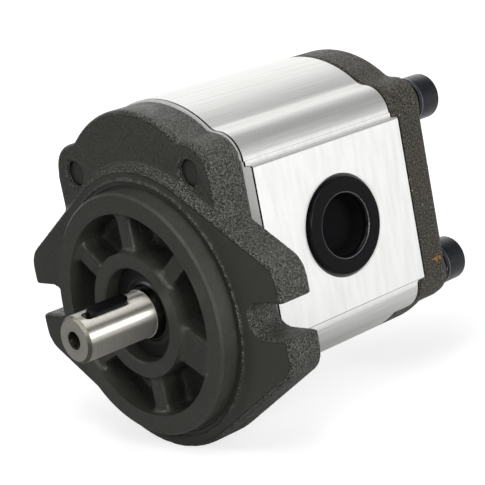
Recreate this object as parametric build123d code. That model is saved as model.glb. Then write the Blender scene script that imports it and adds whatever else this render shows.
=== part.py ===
from build123d import *
import math
import os

# Hydraulic external gear pump, two-bolt flange with an 82.55 mm pilot and a parallel keyed shaft.
# The drive axis is the pilot axis, which is the Y axis. The shaft points to -Y and +Z is up.
# The origin lies where that axis meets the flange's mounting face. All sizes are in millimetres.

# Gears. The driven gear lies straight above the drive gear.
TEETH = 10
MODULE = 3.0
PRESSURE_ANGLE = 20.0
CENTRE_DISTANCE = 31.5
GEAR_WIDTH = 26.0
BACKLASH = 0.10
ROOT_FILLET = 0.75
MID_Z = CENTRE_DISTANCE / 2

# Running and sliding clearances.
TIP_CLEARANCE = 0.07
JOURNAL_CLEARANCE = 0.03
AXIAL_CLEARANCE = 0.05
SLIDE_CLEARANCE = 0.08
LIP_CLEARANCE = 0.02

# Stack along Y.
MOUNT_Y = 0.0
PLATE_Y = 2.4
EAR_BACK_Y = 13.0
BODY_Y0 = 16.6
BODY_Y1 = 85.7
REAR_PLATE_Y = 101.2
REAR_BOSS_Y = 102.0
BODY_MID_Y = (BODY_Y0 + BODY_Y1) / 2
GEAR_Y0 = BODY_MID_Y - GEAR_WIDTH / 2
GEAR_Y1 = BODY_MID_Y + GEAR_WIDTH / 2

# Mounting flange.
PILOT_R = 82.55 / 2
PILOT_H = 6.35
PILOT_CHAMFER = 0.9
FOOT_GROOVE_W = 0.9
FOOT_GROOVE_D = 0.35
FLANGE_R = 47.8
EAR_TIP_X = 64.0
EAR_HALF_H = 20.3
EAR_CORNER_R = 9.0
SLOT_X = 53.2
SLOT_R = 5.55

# Pockets cast into the pilot, with six ribs between hub and ring.
POCKET_R0 = 21.2
POCKET_R1 = 34.5
POCKET_FLOOR_Y = 6.0
RIB_TOP_Y = -4.2
RIB_W = 6.2
BOLT_RIB_W = 13.0
RIB_ANGLES = (90, 37, 143, 270)
POCKET_CORNER_R = 2.6

# Outlines: crown arcs, tie-bolt bosses and flat sides.
CROWN_Z = 25.4
COVER_CROWN_R = 41.0
BODY_CROWN_R = 41.6
COVER_BOSS_R = 10.0
BODY_BOSS_R = 10.0
REAR_STAND_R = 9.6
SIDE_X = 40.3
PAD_X = 43.5
PAD_HALF_H = 28.3
REAR_EDGE_R = 2.8

# Tie bolts: M10 x 100 socket-head cap screws from the rear, with lock washers.
BOLT_X = 29.8
BOLT_DZ = 29.8
BOLT_R = 5.0
BOLT_LENGTH = 100.0
BOLT_HOLE_R = 5.4
TAPPED_R = 5.05
TAP_DRILL_R = 4.25
THREAD_END_Y = 3.6
HEAD_R = 7.9
HEAD_H = 10.0
HEX_AF = 8.0
HEX_DEPTH = 5.0
WASHER_R = 8.1
WASHER_T = 2.2
WASHER_SPLIT = 1.0
BLIND_Y = 3.0

# Dowels that line up the covers on the body.
DOWEL_R = 3.0
DOWEL_X = 33.5
DOWEL_HALF = 6.0

# Shafts.
SHAFT_R = 15.875 / 2
SHAFT_TIP_Y = -31.75
SHAFT_CHAMFER = 1.0
SHOULDER_Y = -4.0
SHOULDER_R = 8.35
JOURNAL_R = 9.0
CENTRE_R = 2.5
CENTRE_DEPTH = 14.0
KEY_W = 3.97
KEY_H = 3.95
KEY_Y0 = -27.2
KEY_Y1 = -11.3
KEYWAY_Y0 = -29.0
KEYWAY_FLOOR = 5.8
KEY_SIDE_CLEARANCE = 0.01
KEY_ANGLE = 25.0

# Bearing blocks and their liners.
LINER_R = 10.5
LINER_SLIT = 0.4
RELIEF_W = 7.0
RELIEF_H = 5.0
RELIEF_DEPTH = 1.5

# Pressure-balance seals in the outer faces of the blocks.
BALANCE_LAND = 1.33
BALANCE_W = 1.8
BACKUP_W = 0.9
BALANCE_DEPTH = 2.4
BALANCE_CUT_X = -4.0

# Body face seals.
SEAL_R0 = 21.2
SEAL_R1 = 23.8
SEAL_DEPTH = 2.0

# Rotary shaft seal.
SEAL_BORE_R = 16.0
SEAL_Y0 = -1.0
SEAL_Y1 = 6.0
SEAL_CASE_T = 1.0
SEAL_RIM_R = 11.8
LIP_T = 0.5
SPRING_R = 11.35
SPRING_WIRE_R = 0.75
SPRING_Y = 3.2
DRAIN_R = 9.7
DRAIN_Y = 9.0

# Ports. Each is a straight-thread port closed by a push-in plug.
PORT_DEPTH = 20.0
SUCTION_BORE_R = 15.5
SUCTION_CHAMFER_R = 17.1
SUCTION_PASSAGE_R = 10.0
PRESSURE_BORE_R = 12.4
PRESSURE_CHAMFER_R = 14.0
PRESSURE_PASSAGE_R = 7.5
PLUG_LENGTH = 13.0
PLUG_WALL = 5.2
PLUG_RIM_ROUND = 0.5

PLANE_YR = Plane(origin=(0, 0, 0), x_dir=(0, 1, 0), z_dir=(1, 0, 0))
PLANE_XR = Plane(origin=(0, 0, 0), x_dir=(1, 0, 0), z_dir=(0, -1, 0))
BOLT_POSITIONS = [
    (x, z)
    for z in (MID_Z + BOLT_DZ, MID_Z - BOLT_DZ)
    for x in (-BOLT_X, BOLT_X)
]
GEAR_CENTRES = ((0.0, 0.0), (0.0, CENTRE_DISTANCE))


def slab(sketch, y0, y1):
    """Extrudes a sketch drawn in X and Z from y0 to y1."""
    plane = Plane(origin=(0, y1, 0), x_dir=(1, 0, 0), z_dir=(0, -1, 0))
    return extrude(plane * sketch, amount=y1 - y0)


def disc(r, x=0.0, z=0.0):
    """A circle in X and Z."""
    return Pos(x, z) * Circle(r)


def rod(r, y0, y1, x=0.0, z=0.0):
    """A cylinder along Y."""
    return slab(disc(r, x, z), y0, y1)


def turned(points, x=0.0, z=0.0):
    """A solid turned about a line along Y, from (y, r) points."""
    profile = PLANE_YR * Polygon(*points, align=None)
    return Pos(x, 0, z) * revolve(profile, axis=Axis.Y)


def turned_x(points, y, z):
    """A solid turned about a line along X, from (x, r) points."""
    profile = PLANE_XR * Polygon(*points, align=None)
    return Pos(0, y, z) * revolve(profile, axis=Axis.X)


def box_between(x0, x1, y0, y1, z0, z1):
    """A box from its two corners."""
    centre = Pos((x0 + x1) / 2, (y0 + y1) / 2, (z0 + z1) / 2)
    return centre * Box(abs(x1 - x0), abs(y1 - y0), abs(z1 - z0))


def radial_bar(length, width, angle):
    """A bar in X and Z from the drive axis outwards at an angle in degrees."""
    return Rot(0, 0, angle) * Pos(length / 2, 0) * Rectangle(length, width)


def edges_at_y(part, y, tolerance=1e-3):
    """The edges of a part that lie in the plane Y = y."""
    picked = []
    for edge in part.edges():
        box = edge.bounding_box()
        if abs(box.min.Y - y) < tolerance and abs(box.max.Y - y) < tolerance:
            picked.append(edge)
    return picked


def housing_outline(crown_r, boss_r, side_x, blend_r):
    """The pump's section: two crown arcs, four bolt bosses and flat sides."""
    low_z = CENTRE_DISTANCE - CROWN_Z
    tall = Pos(0, MID_Z) * Rectangle(2 * side_x, 2 * crown_r + 2 * CENTRE_DISTANCE)
    reach = crown_r + CENTRE_DISTANCE
    upper = Pos(0, MID_Z + reach / 2) * Rectangle(2 * reach, reach)
    lower = Pos(0, MID_Z - reach / 2) * Rectangle(2 * reach, reach)
    outline = disc(crown_r, 0, CROWN_Z) & upper & tall
    outline += disc(crown_r, 0, low_z) & lower & tall
    outline += Pos(0, MID_Z) * Rectangle(2 * side_x, 2 * BOLT_DZ)
    for x, z in BOLT_POSITIONS:
        outline += disc(boss_r, x, z)
    hollows = []
    for vertex in outline.vertices():
        off_mid = abs(vertex.Y - MID_Z)
        if off_mid > BOLT_DZ + boss_r / 5 and abs(vertex.X) < side_x - boss_r / 5:
            hollows.append(vertex)
    # A crown that reaches past the bosses leaves no hollows to round.
    return fillet(hollows, blend_r) if hollows else outline


def stadium(r):
    """A racetrack in X and Z round both gear axes."""
    shape = disc(r, *GEAR_CENTRES[0]) + disc(r, *GEAR_CENTRES[1])
    return shape + Pos(0, MID_Z) * Rectangle(2 * r, CENTRE_DISTANCE)


def figure_eight(r):
    """Two overlapping circles, one on each gear axis."""
    return disc(r, *GEAR_CENTRES[0]) + disc(r, *GEAR_CENTRES[1])


def involute(angle):
    """The involute function of an angle in radians."""
    return math.tan(angle) - angle


def gear_sizes():
    """Base, root and tip radii, and the half tooth angle on the base circle."""
    alpha = math.radians(PRESSURE_ANGLE)
    pitch_r = MODULE * TEETH / 2
    base_r = pitch_r * math.cos(alpha)
    working = math.acos(base_r / MID_Z)
    shift = (involute(working) - involute(alpha)) * TEETH / (2 * math.tan(alpha))
    root_r = pitch_r - MODULE * (1.25 - shift)
    tip_r = CENTRE_DISTANCE - root_r - 0.25 * MODULE
    thickness = MODULE * (math.pi / 2 + 2 * shift * math.tan(alpha)) - BACKLASH
    half_angle = thickness / (2 * pitch_r) + involute(alpha)
    return base_r, root_r, tip_r, half_angle


BASE_R, ROOT_R, TIP_R, HALF_TOOTH = gear_sizes()
CAVITY_R = TIP_R + TIP_CLEARANCE
BLOCK_R = CAVITY_R - TIP_CLEARANCE
BACKUP_R1 = BLOCK_R - BALANCE_LAND
BALANCE_R1 = BACKUP_R1 - BACKUP_W
BALANCE_R0 = BALANCE_R1 - BALANCE_W


def polar(r, angle):
    """A point at radius r and an angle in radians."""
    return (r * math.cos(angle), r * math.sin(angle))


def gear_outline(first_tooth_deg):
    """A profile-shifted involute gear, one tooth centred on the given angle."""
    steps = 7
    pitch = 2 * math.pi / TEETH
    edges = []
    for tooth in range(TEETH):
        centre = math.radians(first_tooth_deg) + tooth * pitch
        rising = []
        falling = []
        for step in range(steps + 1):
            # Radii crowd towards the base circle, where the curve bends most.
            r = BASE_R + (TIP_R - BASE_R) * (step / steps) ** 1.6
            turn = HALF_TOOTH - involute(math.acos(min(1.0, BASE_R / r)))
            rising.append(polar(r, centre - turn))
            falling.append(polar(r, centre + turn))
        falling.reverse()
        root_in = polar(ROOT_R, centre - HALF_TOOTH)
        root_out = polar(ROOT_R, centre + HALF_TOOTH)
        next_root = polar(ROOT_R, centre + pitch - HALF_TOOTH)
        edges.append(Line(root_in, rising[0]))
        edges.append(Spline(*rising))
        edges.append(ThreePointArc(rising[-1], polar(TIP_R, centre), falling[0]))
        edges.append(Spline(*falling))
        edges.append(Line(falling[-1], root_out))
        edges.append(ThreePointArc(root_out, polar(ROOT_R, centre + pitch / 2), next_root))
    outline = make_face(edges)
    roots = [v for v in outline.vertices() if abs(math.hypot(v.X, v.Y) - ROOT_R) < 0.01]
    return fillet(roots, ROOT_FILLET)


def front_cover():
    """Cast flange and front cover: pilot, ears, pockets, hub bore and tapped holes."""
    plate = slab(housing_outline(COVER_CROWN_R, COVER_BOSS_R, SIDE_X, 7.0), PLATE_Y, BODY_Y0)
    plate = fillet(edges_at_y(plate, PLATE_Y), 1.6)
    corners = Sketch() + [
        disc(EAR_CORNER_R, sx * (EAR_TIP_X - EAR_CORNER_R), sz * (EAR_HALF_H - EAR_CORNER_R))
        for sx in (-1, 1)
        for sz in (-1, 1)
    ]
    outline = make_hull((corners + disc(FLANGE_R)).edges())
    flange = slab(outline, MOUNT_Y, EAR_BACK_Y)
    flange = fillet(edges_at_y(flange, MOUNT_Y), 1.2)
    slots = Sketch()
    mouth = EAR_TIP_X + SLOT_R
    for side in (-1, 1):
        slots += disc(SLOT_R, side * SLOT_X, 0)
        slots += Pos(side * (SLOT_X + mouth) / 2, 0) * Rectangle(mouth - SLOT_X, 2 * SLOT_R)
    flange -= slab(slots, MOUNT_Y - 1, EAR_BACK_Y + 1)
    groove = disc(PILOT_R + FOOT_GROOVE_W) - disc(PILOT_R)
    flange -= slab(groove, MOUNT_Y, MOUNT_Y + FOOT_GROOVE_D)
    pilot = turned([
        (MOUNT_Y + 2, 0),
        (MOUNT_Y + 2, PILOT_R),
        (MOUNT_Y - PILOT_H + PILOT_CHAMFER, PILOT_R),
        (MOUNT_Y - PILOT_H, PILOT_R - PILOT_CHAMFER),
        (MOUNT_Y - PILOT_H, 0),
    ])
    cover = plate + flange + pilot
    ring = disc(POCKET_R1) - disc(POCKET_R0)
    cover -= slab(ring, MOUNT_Y - PILOT_H - 1, RIB_TOP_Y)
    bars = Sketch()
    for angle in RIB_ANGLES:
        bars += radial_bar(POCKET_R1 + 2, RIB_W, angle)
    for x, z in BOLT_POSITIONS[2:]:
        bars += radial_bar(POCKET_R1 + 2, BOLT_RIB_W, math.degrees(math.atan2(z, x)))
    pockets = ring - bars
    pockets = fillet(pockets.vertices(), POCKET_CORNER_R)
    cover -= slab(pockets, MOUNT_Y - PILOT_H - 1, POCKET_FLOOR_Y)
    cover -= rod(SEAL_BORE_R, MOUNT_Y - PILOT_H - 1, SEAL_Y1)
    cover -= turned([
        (-PILOT_H - 0.01, 0),
        (-PILOT_H - 0.01, SEAL_BORE_R + 0.81),
        (-PILOT_H + 0.8, SEAL_BORE_R),
        (-PILOT_H + 0.8, 0),
    ])
    cover -= rod(SEAL_BORE_R - 2.0, SEAL_Y1 - 1, DRAIN_Y)
    cover -= rod(DRAIN_R, DRAIN_Y - 1, BODY_Y0 + 1)
    cover -= rod(DRAIN_R, BODY_Y0 - 3.0, BODY_Y0 + 1, *GEAR_CENTRES[1])
    # The drain slot leads leakage from the driven bearing to the space behind the seal.
    cover -= slab(Pos(0, MID_Z) * Rectangle(4.0, CENTRE_DISTANCE), BODY_Y0 - 2.0, BODY_Y0 + 1)
    for index, (x, z) in enumerate(BOLT_POSITIONS):
        through = index < 2
        start = THREAD_END_Y if through else BLIND_Y
        cover -= rod(TAPPED_R, start, BODY_Y0 + 1, x, z)
        if through:
            cover -= turned([
                (PLATE_Y - 0.01, 0),
                (PLATE_Y - 0.01, TAP_DRILL_R + 0.31),
                (PLATE_Y + 0.3, TAP_DRILL_R),
                (THREAD_END_Y + 0.1, TAP_DRILL_R),
                (THREAD_END_Y + 0.1, 0),
            ], x, z)
    for side in (-1, 1):
        cover -= rod(DOWEL_R, BODY_Y0 - DOWEL_HALF, BODY_Y0 + 1, side * DOWEL_X, MID_Z)
    return cover


def port_cut(side, bore_r, chamfer_r, passage_r):
    """The space of one port: chamfer, tapped bore, drill point and passage to the gears."""
    face = PAD_X
    mouth = chamfer_r - bore_r
    points = [
        (face + 1.0, 0),
        (face + 1.0, chamfer_r),
        (face, chamfer_r),
        (face - mouth, bore_r),
        (face - PORT_DEPTH, bore_r),
        (face - PORT_DEPTH - 2.0, passage_r),
        (4.0, passage_r),
        (4.0, 0),
    ]
    return turned_x([(side * x, r) for x, r in points], BODY_MID_Y, MID_Z)


def gear_housing():
    """Extruded aluminium body with the gear chambers, ports and seal grooves."""
    outline = housing_outline(BODY_CROWN_R, BODY_BOSS_R, SIDE_X, 6.0)
    body = slab(outline, BODY_Y0, BODY_Y1)
    pads = Pos(0, MID_Z) * Rectangle(2 * PAD_X, 2 * PAD_HALF_H)
    pads = chamfer(pads.vertices(), 0.5)
    body += slab(pads, BODY_Y0, BODY_Y1)
    body -= slab(figure_eight(CAVITY_R), BODY_Y0 - 1, BODY_Y1 + 1)
    body -= port_cut(1, SUCTION_BORE_R, SUCTION_CHAMFER_R, SUCTION_PASSAGE_R)
    body -= port_cut(-1, PRESSURE_BORE_R, PRESSURE_CHAMFER_R, PRESSURE_PASSAGE_R)
    for x, z in BOLT_POSITIONS:
        body -= rod(BOLT_HOLE_R, BODY_Y0 - 1, BODY_Y1 + 1, x, z)
    groove = stadium(SEAL_R1) - stadium(SEAL_R0)
    body -= slab(groove, BODY_Y0 - 1, BODY_Y0 + SEAL_DEPTH)
    body -= slab(groove, BODY_Y1 - SEAL_DEPTH, BODY_Y1 + 1)
    for side in (-1, 1):
        body -= rod(DOWEL_R, BODY_Y0 - 1, BODY_Y0 + DOWEL_HALF, side * DOWEL_X, MID_Z)
        body -= rod(DOWEL_R, BODY_Y1 - DOWEL_HALF, BODY_Y1 + 1, side * DOWEL_X, MID_Z)
    return body


def rear_cover():
    """Cast rear cover with four raised bolt bosses."""
    outline = housing_outline(BODY_CROWN_R, BODY_BOSS_R, SIDE_X, 6.0)
    cover = slab(outline, BODY_Y1, REAR_PLATE_Y)
    cover = fillet(edges_at_y(cover, REAR_PLATE_Y), REAR_EDGE_R)
    for x, z in BOLT_POSITIONS:
        boss = rod(REAR_STAND_R, BODY_Y1 + 2, REAR_BOSS_Y, x, z)
        cover += chamfer(edges_at_y(boss, REAR_BOSS_Y), 0.8)
    for x, z in BOLT_POSITIONS:
        cover -= rod(BOLT_HOLE_R, BODY_Y1 - 1, REAR_BOSS_Y + 1, x, z)
    for x, z in GEAR_CENTRES:
        cover -= rod(DRAIN_R, BODY_Y1 - 1, BODY_Y1 + 3.0, x, z)
    cover -= slab(Pos(0, MID_Z) * Rectangle(4.0, CENTRE_DISTANCE), BODY_Y1 - 1, BODY_Y1 + 2.0)
    for side in (-1, 1):
        cover -= rod(DOWEL_R, BODY_Y1 - 1, BODY_Y1 + DOWEL_HALF, side * DOWEL_X, MID_Z)
    return cover


def journal_points(y_end):
    """Profile points of a plain journal that leaves the gear's rear face."""
    return [
        (GEAR_Y0 + 1, 0),
        (GEAR_Y0 + 1, JOURNAL_R),
        (y_end - 0.8, JOURNAL_R),
        (y_end, JOURNAL_R - 0.8),
        (y_end, 0),
    ]


def gear_body(centre, first_tooth_deg):
    """The toothed part of a gear shaft, its face edges broken."""
    x, z = centre
    blank = slab(Pos(x, z) * gear_outline(first_tooth_deg), GEAR_Y0, GEAR_Y1)
    envelope = turned([
        (GEAR_Y0, 0),
        (GEAR_Y0, TIP_R - 0.4),
        (GEAR_Y0 + 0.4, TIP_R + 0.001),
        (GEAR_Y1 - 0.4, TIP_R + 0.001),
        (GEAR_Y1, TIP_R - 0.4),
        (GEAR_Y1, 0),
    ], x, z)
    return blank & envelope


def key_bar(y0, y1, half_w, height):
    """A round-ended bar that stands on the keyway's floor, turned to the key's angle."""
    outline = SlotOverall(y1 - y0, 2 * half_w, rotation=90)
    bar = Pos(0, (y0 + y1) / 2, KEYWAY_FLOOR) * extrude(outline, amount=height)
    return Rot(0, KEY_ANGLE, 0) * bar


def drive_gear_shaft():
    """Drive shaft and gear in one piece, with the keyway and the tapped end."""
    rear_end = BODY_Y1 - 1.5
    shaft = turned([
        (SHAFT_TIP_Y, 0),
        (SHAFT_TIP_Y, SHAFT_R - SHAFT_CHAMFER),
        (SHAFT_TIP_Y + SHAFT_CHAMFER, SHAFT_R),
        (SHOULDER_Y, SHAFT_R),
        (SHOULDER_Y, SHOULDER_R),
        (SHOULDER_Y + 1.5, JOURNAL_R),
        (GEAR_Y0 + 1, JOURNAL_R),
        (GEAR_Y0 + 1, 0),
    ])
    shaft += turned(journal_points(rear_end))
    shaft += gear_body(GEAR_CENTRES[0], 90)
    shaft -= turned([
        (SHAFT_TIP_Y - 1, 0),
        (SHAFT_TIP_Y - 1, CENTRE_R),
        (SHAFT_TIP_Y + CENTRE_DEPTH, CENTRE_R),
        (SHAFT_TIP_Y + CENTRE_DEPTH + 1.4, 0),
    ])
    shaft -= turned([
        (SHAFT_TIP_Y - 0.01, 0),
        (SHAFT_TIP_Y - 0.01, CENTRE_R + 0.51),
        (SHAFT_TIP_Y + 0.5, CENTRE_R),
        (SHAFT_TIP_Y + 0.5, 0),
    ])
    slot_r = KEY_W / 2 + KEY_SIDE_CLEARANCE
    return shaft - key_bar(KEYWAY_Y0, KEY_Y1 + KEY_SIDE_CLEARANCE, slot_r, 6.0)


def driven_gear_shaft():
    """Driven shaft and gear in one piece."""
    x, z = GEAR_CENTRES[1]
    rear_end = BODY_Y1 - 1.5
    front_end = BODY_Y0 + 1.5
    shaft = turned(journal_points(rear_end), x, z)
    shaft += turned([
        (front_end, 0),
        (front_end, JOURNAL_R - 0.8),
        (front_end + 0.8, JOURNAL_R),
        (GEAR_Y0 + 1, JOURNAL_R),
        (GEAR_Y0 + 1, 0),
    ], x, z)
    return shaft + gear_body(GEAR_CENTRES[1], 90 + 180 / TEETH)


def shaft_key():
    """Parallel key with round ends."""
    return key_bar(KEY_Y0, KEY_Y1, KEY_W / 2, KEY_H)


def balance_band(r0, r1, keep_centre):
    """A 3-shaped band round both bores, open on the pressure side."""
    band = figure_eight(r1) - figure_eight(r0)
    if keep_centre:
        band = figure_eight(r1) - disc(r0, *GEAR_CENTRES[0]) - disc(r0, *GEAR_CENTRES[1])
    reach = CENTRE_DISTANCE + 2 * BLOCK_R
    window = Pos(BALANCE_CUT_X + reach / 2, MID_Z) * Rectangle(reach, reach)
    return band & window


def bearing_block(y_gear, y_far):
    """Figure-eight bearing block: gear-side relief pockets and a 3-shaped seal groove."""
    inward = 1 if y_far > y_gear else -1
    low, high = sorted((y_gear, y_far))
    block = slab(figure_eight(BLOCK_R), low, high)
    for x, z in GEAR_CENTRES:
        block -= rod(LINER_R, low - 1, high + 1, x, z)
    for side in (-1, 1):
        pocket = box_between(
            side * 2.2,
            side * (2.2 + RELIEF_W),
            y_gear - inward,
            y_gear + inward * RELIEF_DEPTH,
            MID_Z - RELIEF_H / 2,
            MID_Z + RELIEF_H / 2,
        )
        block -= pocket
    groove = balance_band(BALANCE_R0, BALANCE_R1, True) + balance_band(BALANCE_R1, BACKUP_R1, False)
    start, end = sorted((y_far - inward * BALANCE_DEPTH, y_far + inward))
    block -= slab(groove, start, end)
    return block


def balance_seal(y_far, inward, r0, r1, keep_centre):
    """One 3-shaped strip that fills its share of the block's groove."""
    start, end = sorted((y_far - inward * BALANCE_DEPTH, y_far))
    return slab(balance_band(r0, r1, keep_centre), start, end)


def bearing_liner(y0, y1, centre):
    """Rolled bearing bush with its butt joint."""
    x, z = centre
    away = -1 if z < MID_Z else 1
    liner = rod(LINER_R, y0, y1, x, z) - rod(JOURNAL_R + JOURNAL_CLEARANCE, y0 - 1, y1 + 1, x, z)
    slit = box_between(
        x - LINER_SLIT / 2,
        x + LINER_SLIT / 2,
        y0 - 1,
        y1 + 1,
        z + away * (JOURNAL_R - 1),
        z + away * (LINER_R + 1),
    )
    return liner - slit


def seal_spring():
    """Garter spring as a ring."""
    return Pos(0, SPRING_Y, 0) * Rot(90, 0, 0) * Torus(SPRING_R, SPRING_WIRE_R)


def seal_case():
    """Pressed steel case of the shaft seal."""
    return turned([
        (SEAL_Y0, SEAL_RIM_R),
        (SEAL_Y0, SEAL_BORE_R - 0.5),
        (SEAL_Y0 + 0.5, SEAL_BORE_R),
        (SEAL_Y1, SEAL_BORE_R),
        (SEAL_Y1, SEAL_BORE_R - SEAL_CASE_T),
        (SEAL_Y0 + SEAL_CASE_T, SEAL_BORE_R - SEAL_CASE_T),
        (SEAL_Y0 + SEAL_CASE_T, SEAL_RIM_R),
    ])


def seal_lip():
    """Elastomer lip with its dust lip, main lip and spring groove."""
    lip_r = JOURNAL_R + LIP_CLEARANCE
    inside = SEAL_Y0 + SEAL_CASE_T
    lip = turned([
        (SEAL_Y0, SEAL_RIM_R),
        (SEAL_Y0, lip_r + 2.8 * LIP_T),
        (SEAL_Y0 - 1.2 * LIP_T, lip_r + LIP_T),
        (SEAL_Y0 - 0.8 * LIP_T, lip_r),
        (SEAL_Y0 + 0.8 * LIP_T, lip_r + 1.2 * LIP_T),
        (inside + 2.0 * LIP_T, lip_r + 1.8 * LIP_T),
        (SPRING_Y - 0.6 * LIP_T, lip_r),
        (SPRING_Y + 3.2 * LIP_T, lip_r + 2.4 * LIP_T),
        (SPRING_Y + 3.2 * LIP_T, SPRING_R - 0.3 * LIP_T),
        (SPRING_Y - 3.6 * LIP_T, SPRING_R + 0.1 * LIP_T),
        (inside, SEAL_RIM_R + 1.6 * LIP_T),
        (inside, SEAL_RIM_R),
    ])
    return lip - seal_spring()


def housing_seal(y0, y1):
    """Racetrack section ring that seals the body against a cover."""
    return slab(stadium(SEAL_R1) - stadium(SEAL_R0), y0, y1)


def tie_bolt(x, z):
    """M10 socket-head cap screw, head at the rear."""
    seat = REAR_BOSS_Y + WASHER_T
    tip = seat - BOLT_LENGTH
    bolt = turned([
        (tip, 0),
        (tip, BOLT_R - 0.9),
        (tip + 0.9, BOLT_R),
        (seat, BOLT_R),
        (seat, HEAD_R - 0.2),
        (seat + 0.2, HEAD_R),
        (seat + HEAD_H - 0.8, HEAD_R),
        (seat + HEAD_H, HEAD_R - 0.8),
        (seat + HEAD_H, 0),
    ], x, z)
    socket = Pos(x, z) * RegularPolygon(HEX_AF / 2, 6, major_radius=False)
    return bolt - slab(socket, seat + HEAD_H - HEX_DEPTH, seat + HEAD_H + 1)


def lock_washer(x, z):
    """Split spring washer under a bolt head."""
    ring = rod(WASHER_R, REAR_BOSS_Y, REAR_BOSS_Y + WASHER_T, x, z)
    ring -= rod(BOLT_HOLE_R - 0.3, REAR_BOSS_Y - 1, REAR_BOSS_Y + WASHER_T + 1, x, z)
    gap = Box(WASHER_R, 3 * WASHER_T, WASHER_SPLIT)
    away = math.degrees(math.atan2(z - MID_Z, x))
    turned_gap = Rot(0, -away - 35, 0) * Pos(WASHER_R * 0.8, 0, 0) * gap
    return ring - Pos(x, REAR_BOSS_Y + WASHER_T / 2, z) * turned_gap


def dowel(x, y):
    """Straight dowel pin with chamfered ends."""
    return turned([
        (y - DOWEL_HALF, 0),
        (y - DOWEL_HALF, DOWEL_R - 0.5),
        (y - DOWEL_HALF + 0.5, DOWEL_R),
        (y + DOWEL_HALF - 0.5, DOWEL_R),
        (y + DOWEL_HALF, DOWEL_R - 0.5),
        (y + DOWEL_HALF, 0),
    ], x, MID_Z)


def port_plug(side, bore_r, chamfer_r):
    """Push-in plug with a rounded rim in the port's chamfer and an open cup."""
    rim_r = chamfer_r - 0.9
    seat = PAD_X - (chamfer_r - rim_r) + 0.12
    face = PAD_X - 0.2
    shank_r = bore_r - SLIDE_CLEARANCE
    cup_r = bore_r - PLUG_WALL
    inner = PAD_X - PLUG_LENGTH
    soft = PLUG_RIM_ROUND
    points = [
        (inner, 0),
        (inner, shank_r - 0.8),
        (inner + 2.5, shank_r),
        (inner + 4.0, shank_r),
        (inner + 4.0, shank_r - 0.5),
        (inner + 5.0, shank_r - 0.5),
        (inner + 5.0, shank_r),
        (inner + 6.5, shank_r),
        (inner + 6.5, shank_r - 0.5),
        (inner + 7.5, shank_r - 0.5),
        (inner + 7.5, shank_r),
        (seat - (rim_r - shank_r), shank_r),
        (seat, rim_r),
        (face - soft, rim_r),
        (face - 0.3 * soft, rim_r - 0.3 * soft),
        (face, rim_r - soft),
        (face, cup_r + 1.0),
        (face + 0.12, cup_r + 0.75),
        (face + 0.12, cup_r + 0.3),
        (face - 0.2, cup_r),
        (inner + 2.0, cup_r - 0.4),
        (inner + 2.0, 0),
    ]
    return turned_x([(side * x, r) for x, r in points], BODY_MID_Y, MID_Z)


FRONT_BLOCK_Y = (GEAR_Y0 - AXIAL_CLEARANCE, BODY_Y0 + AXIAL_CLEARANCE)
REAR_BLOCK_Y = (GEAR_Y1 + AXIAL_CLEARANCE, BODY_Y1 - AXIAL_CLEARANCE)
FRONT_LINER_Y = (BODY_Y0 + 1.0, GEAR_Y0 - 0.5)
REAR_LINER_Y = (GEAR_Y1 + 0.5, BODY_Y1 - 1.0)

shapes = {
    "front_cover": front_cover(),
    "gear_housing": gear_housing(),
    "rear_cover": rear_cover(),
    "drive_gear_shaft": drive_gear_shaft(),
    "driven_gear_shaft": driven_gear_shaft(),
    "shaft_key": shaft_key(),
    "front_bearing_block": bearing_block(*FRONT_BLOCK_Y),
    "rear_bearing_block": bearing_block(*REAR_BLOCK_Y),
    "front_drive_liner": bearing_liner(*FRONT_LINER_Y, GEAR_CENTRES[0]),
    "front_driven_liner": bearing_liner(*FRONT_LINER_Y, GEAR_CENTRES[1]),
    "rear_drive_liner": bearing_liner(*REAR_LINER_Y, GEAR_CENTRES[0]),
    "rear_driven_liner": bearing_liner(*REAR_LINER_Y, GEAR_CENTRES[1]),
    "front_balance_seal": balance_seal(FRONT_BLOCK_Y[1], -1, BALANCE_R0, BALANCE_R1, True),
    "rear_balance_seal": balance_seal(REAR_BLOCK_Y[1], 1, BALANCE_R0, BALANCE_R1, True),
    "front_backup_ring": balance_seal(FRONT_BLOCK_Y[1], -1, BALANCE_R1, BACKUP_R1, False),
    "rear_backup_ring": balance_seal(REAR_BLOCK_Y[1], 1, BALANCE_R1, BACKUP_R1, False),
    "front_housing_seal": housing_seal(BODY_Y0, BODY_Y0 + SEAL_DEPTH),
    "rear_housing_seal": housing_seal(BODY_Y1 - SEAL_DEPTH, BODY_Y1),
    "shaft_seal_case": seal_case(),
    "shaft_seal_lip": seal_lip(),
    "seal_garter_spring": seal_spring(),
    "tie_bolts": Compound(children=[tie_bolt(x, z) for x, z in BOLT_POSITIONS]),
    "lock_washers": Compound(children=[lock_washer(x, z) for x, z in BOLT_POSITIONS]),
    "dowel_pins": Compound(
        children=[dowel(side * DOWEL_X, y) for y in (BODY_Y0, BODY_Y1) for side in (-1, 1)]
    ),
    "suction_port_plug": port_plug(1, SUCTION_BORE_R, SUCTION_CHAMFER_R),
    "pressure_port_plug": port_plug(-1, PRESSURE_BORE_R, PRESSURE_CHAMFER_R),
}

os.makedirs("parts", exist_ok=True)
for node, shape in shapes.items():
    export_step(shape, f"parts/{node}.step")
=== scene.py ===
import logging
import math
from collections.abc import Sequence
from dataclasses import dataclass
from enum import Enum

import bmesh
import bpy
import numpy as np
from mathutils import Matrix, Vector


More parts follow.
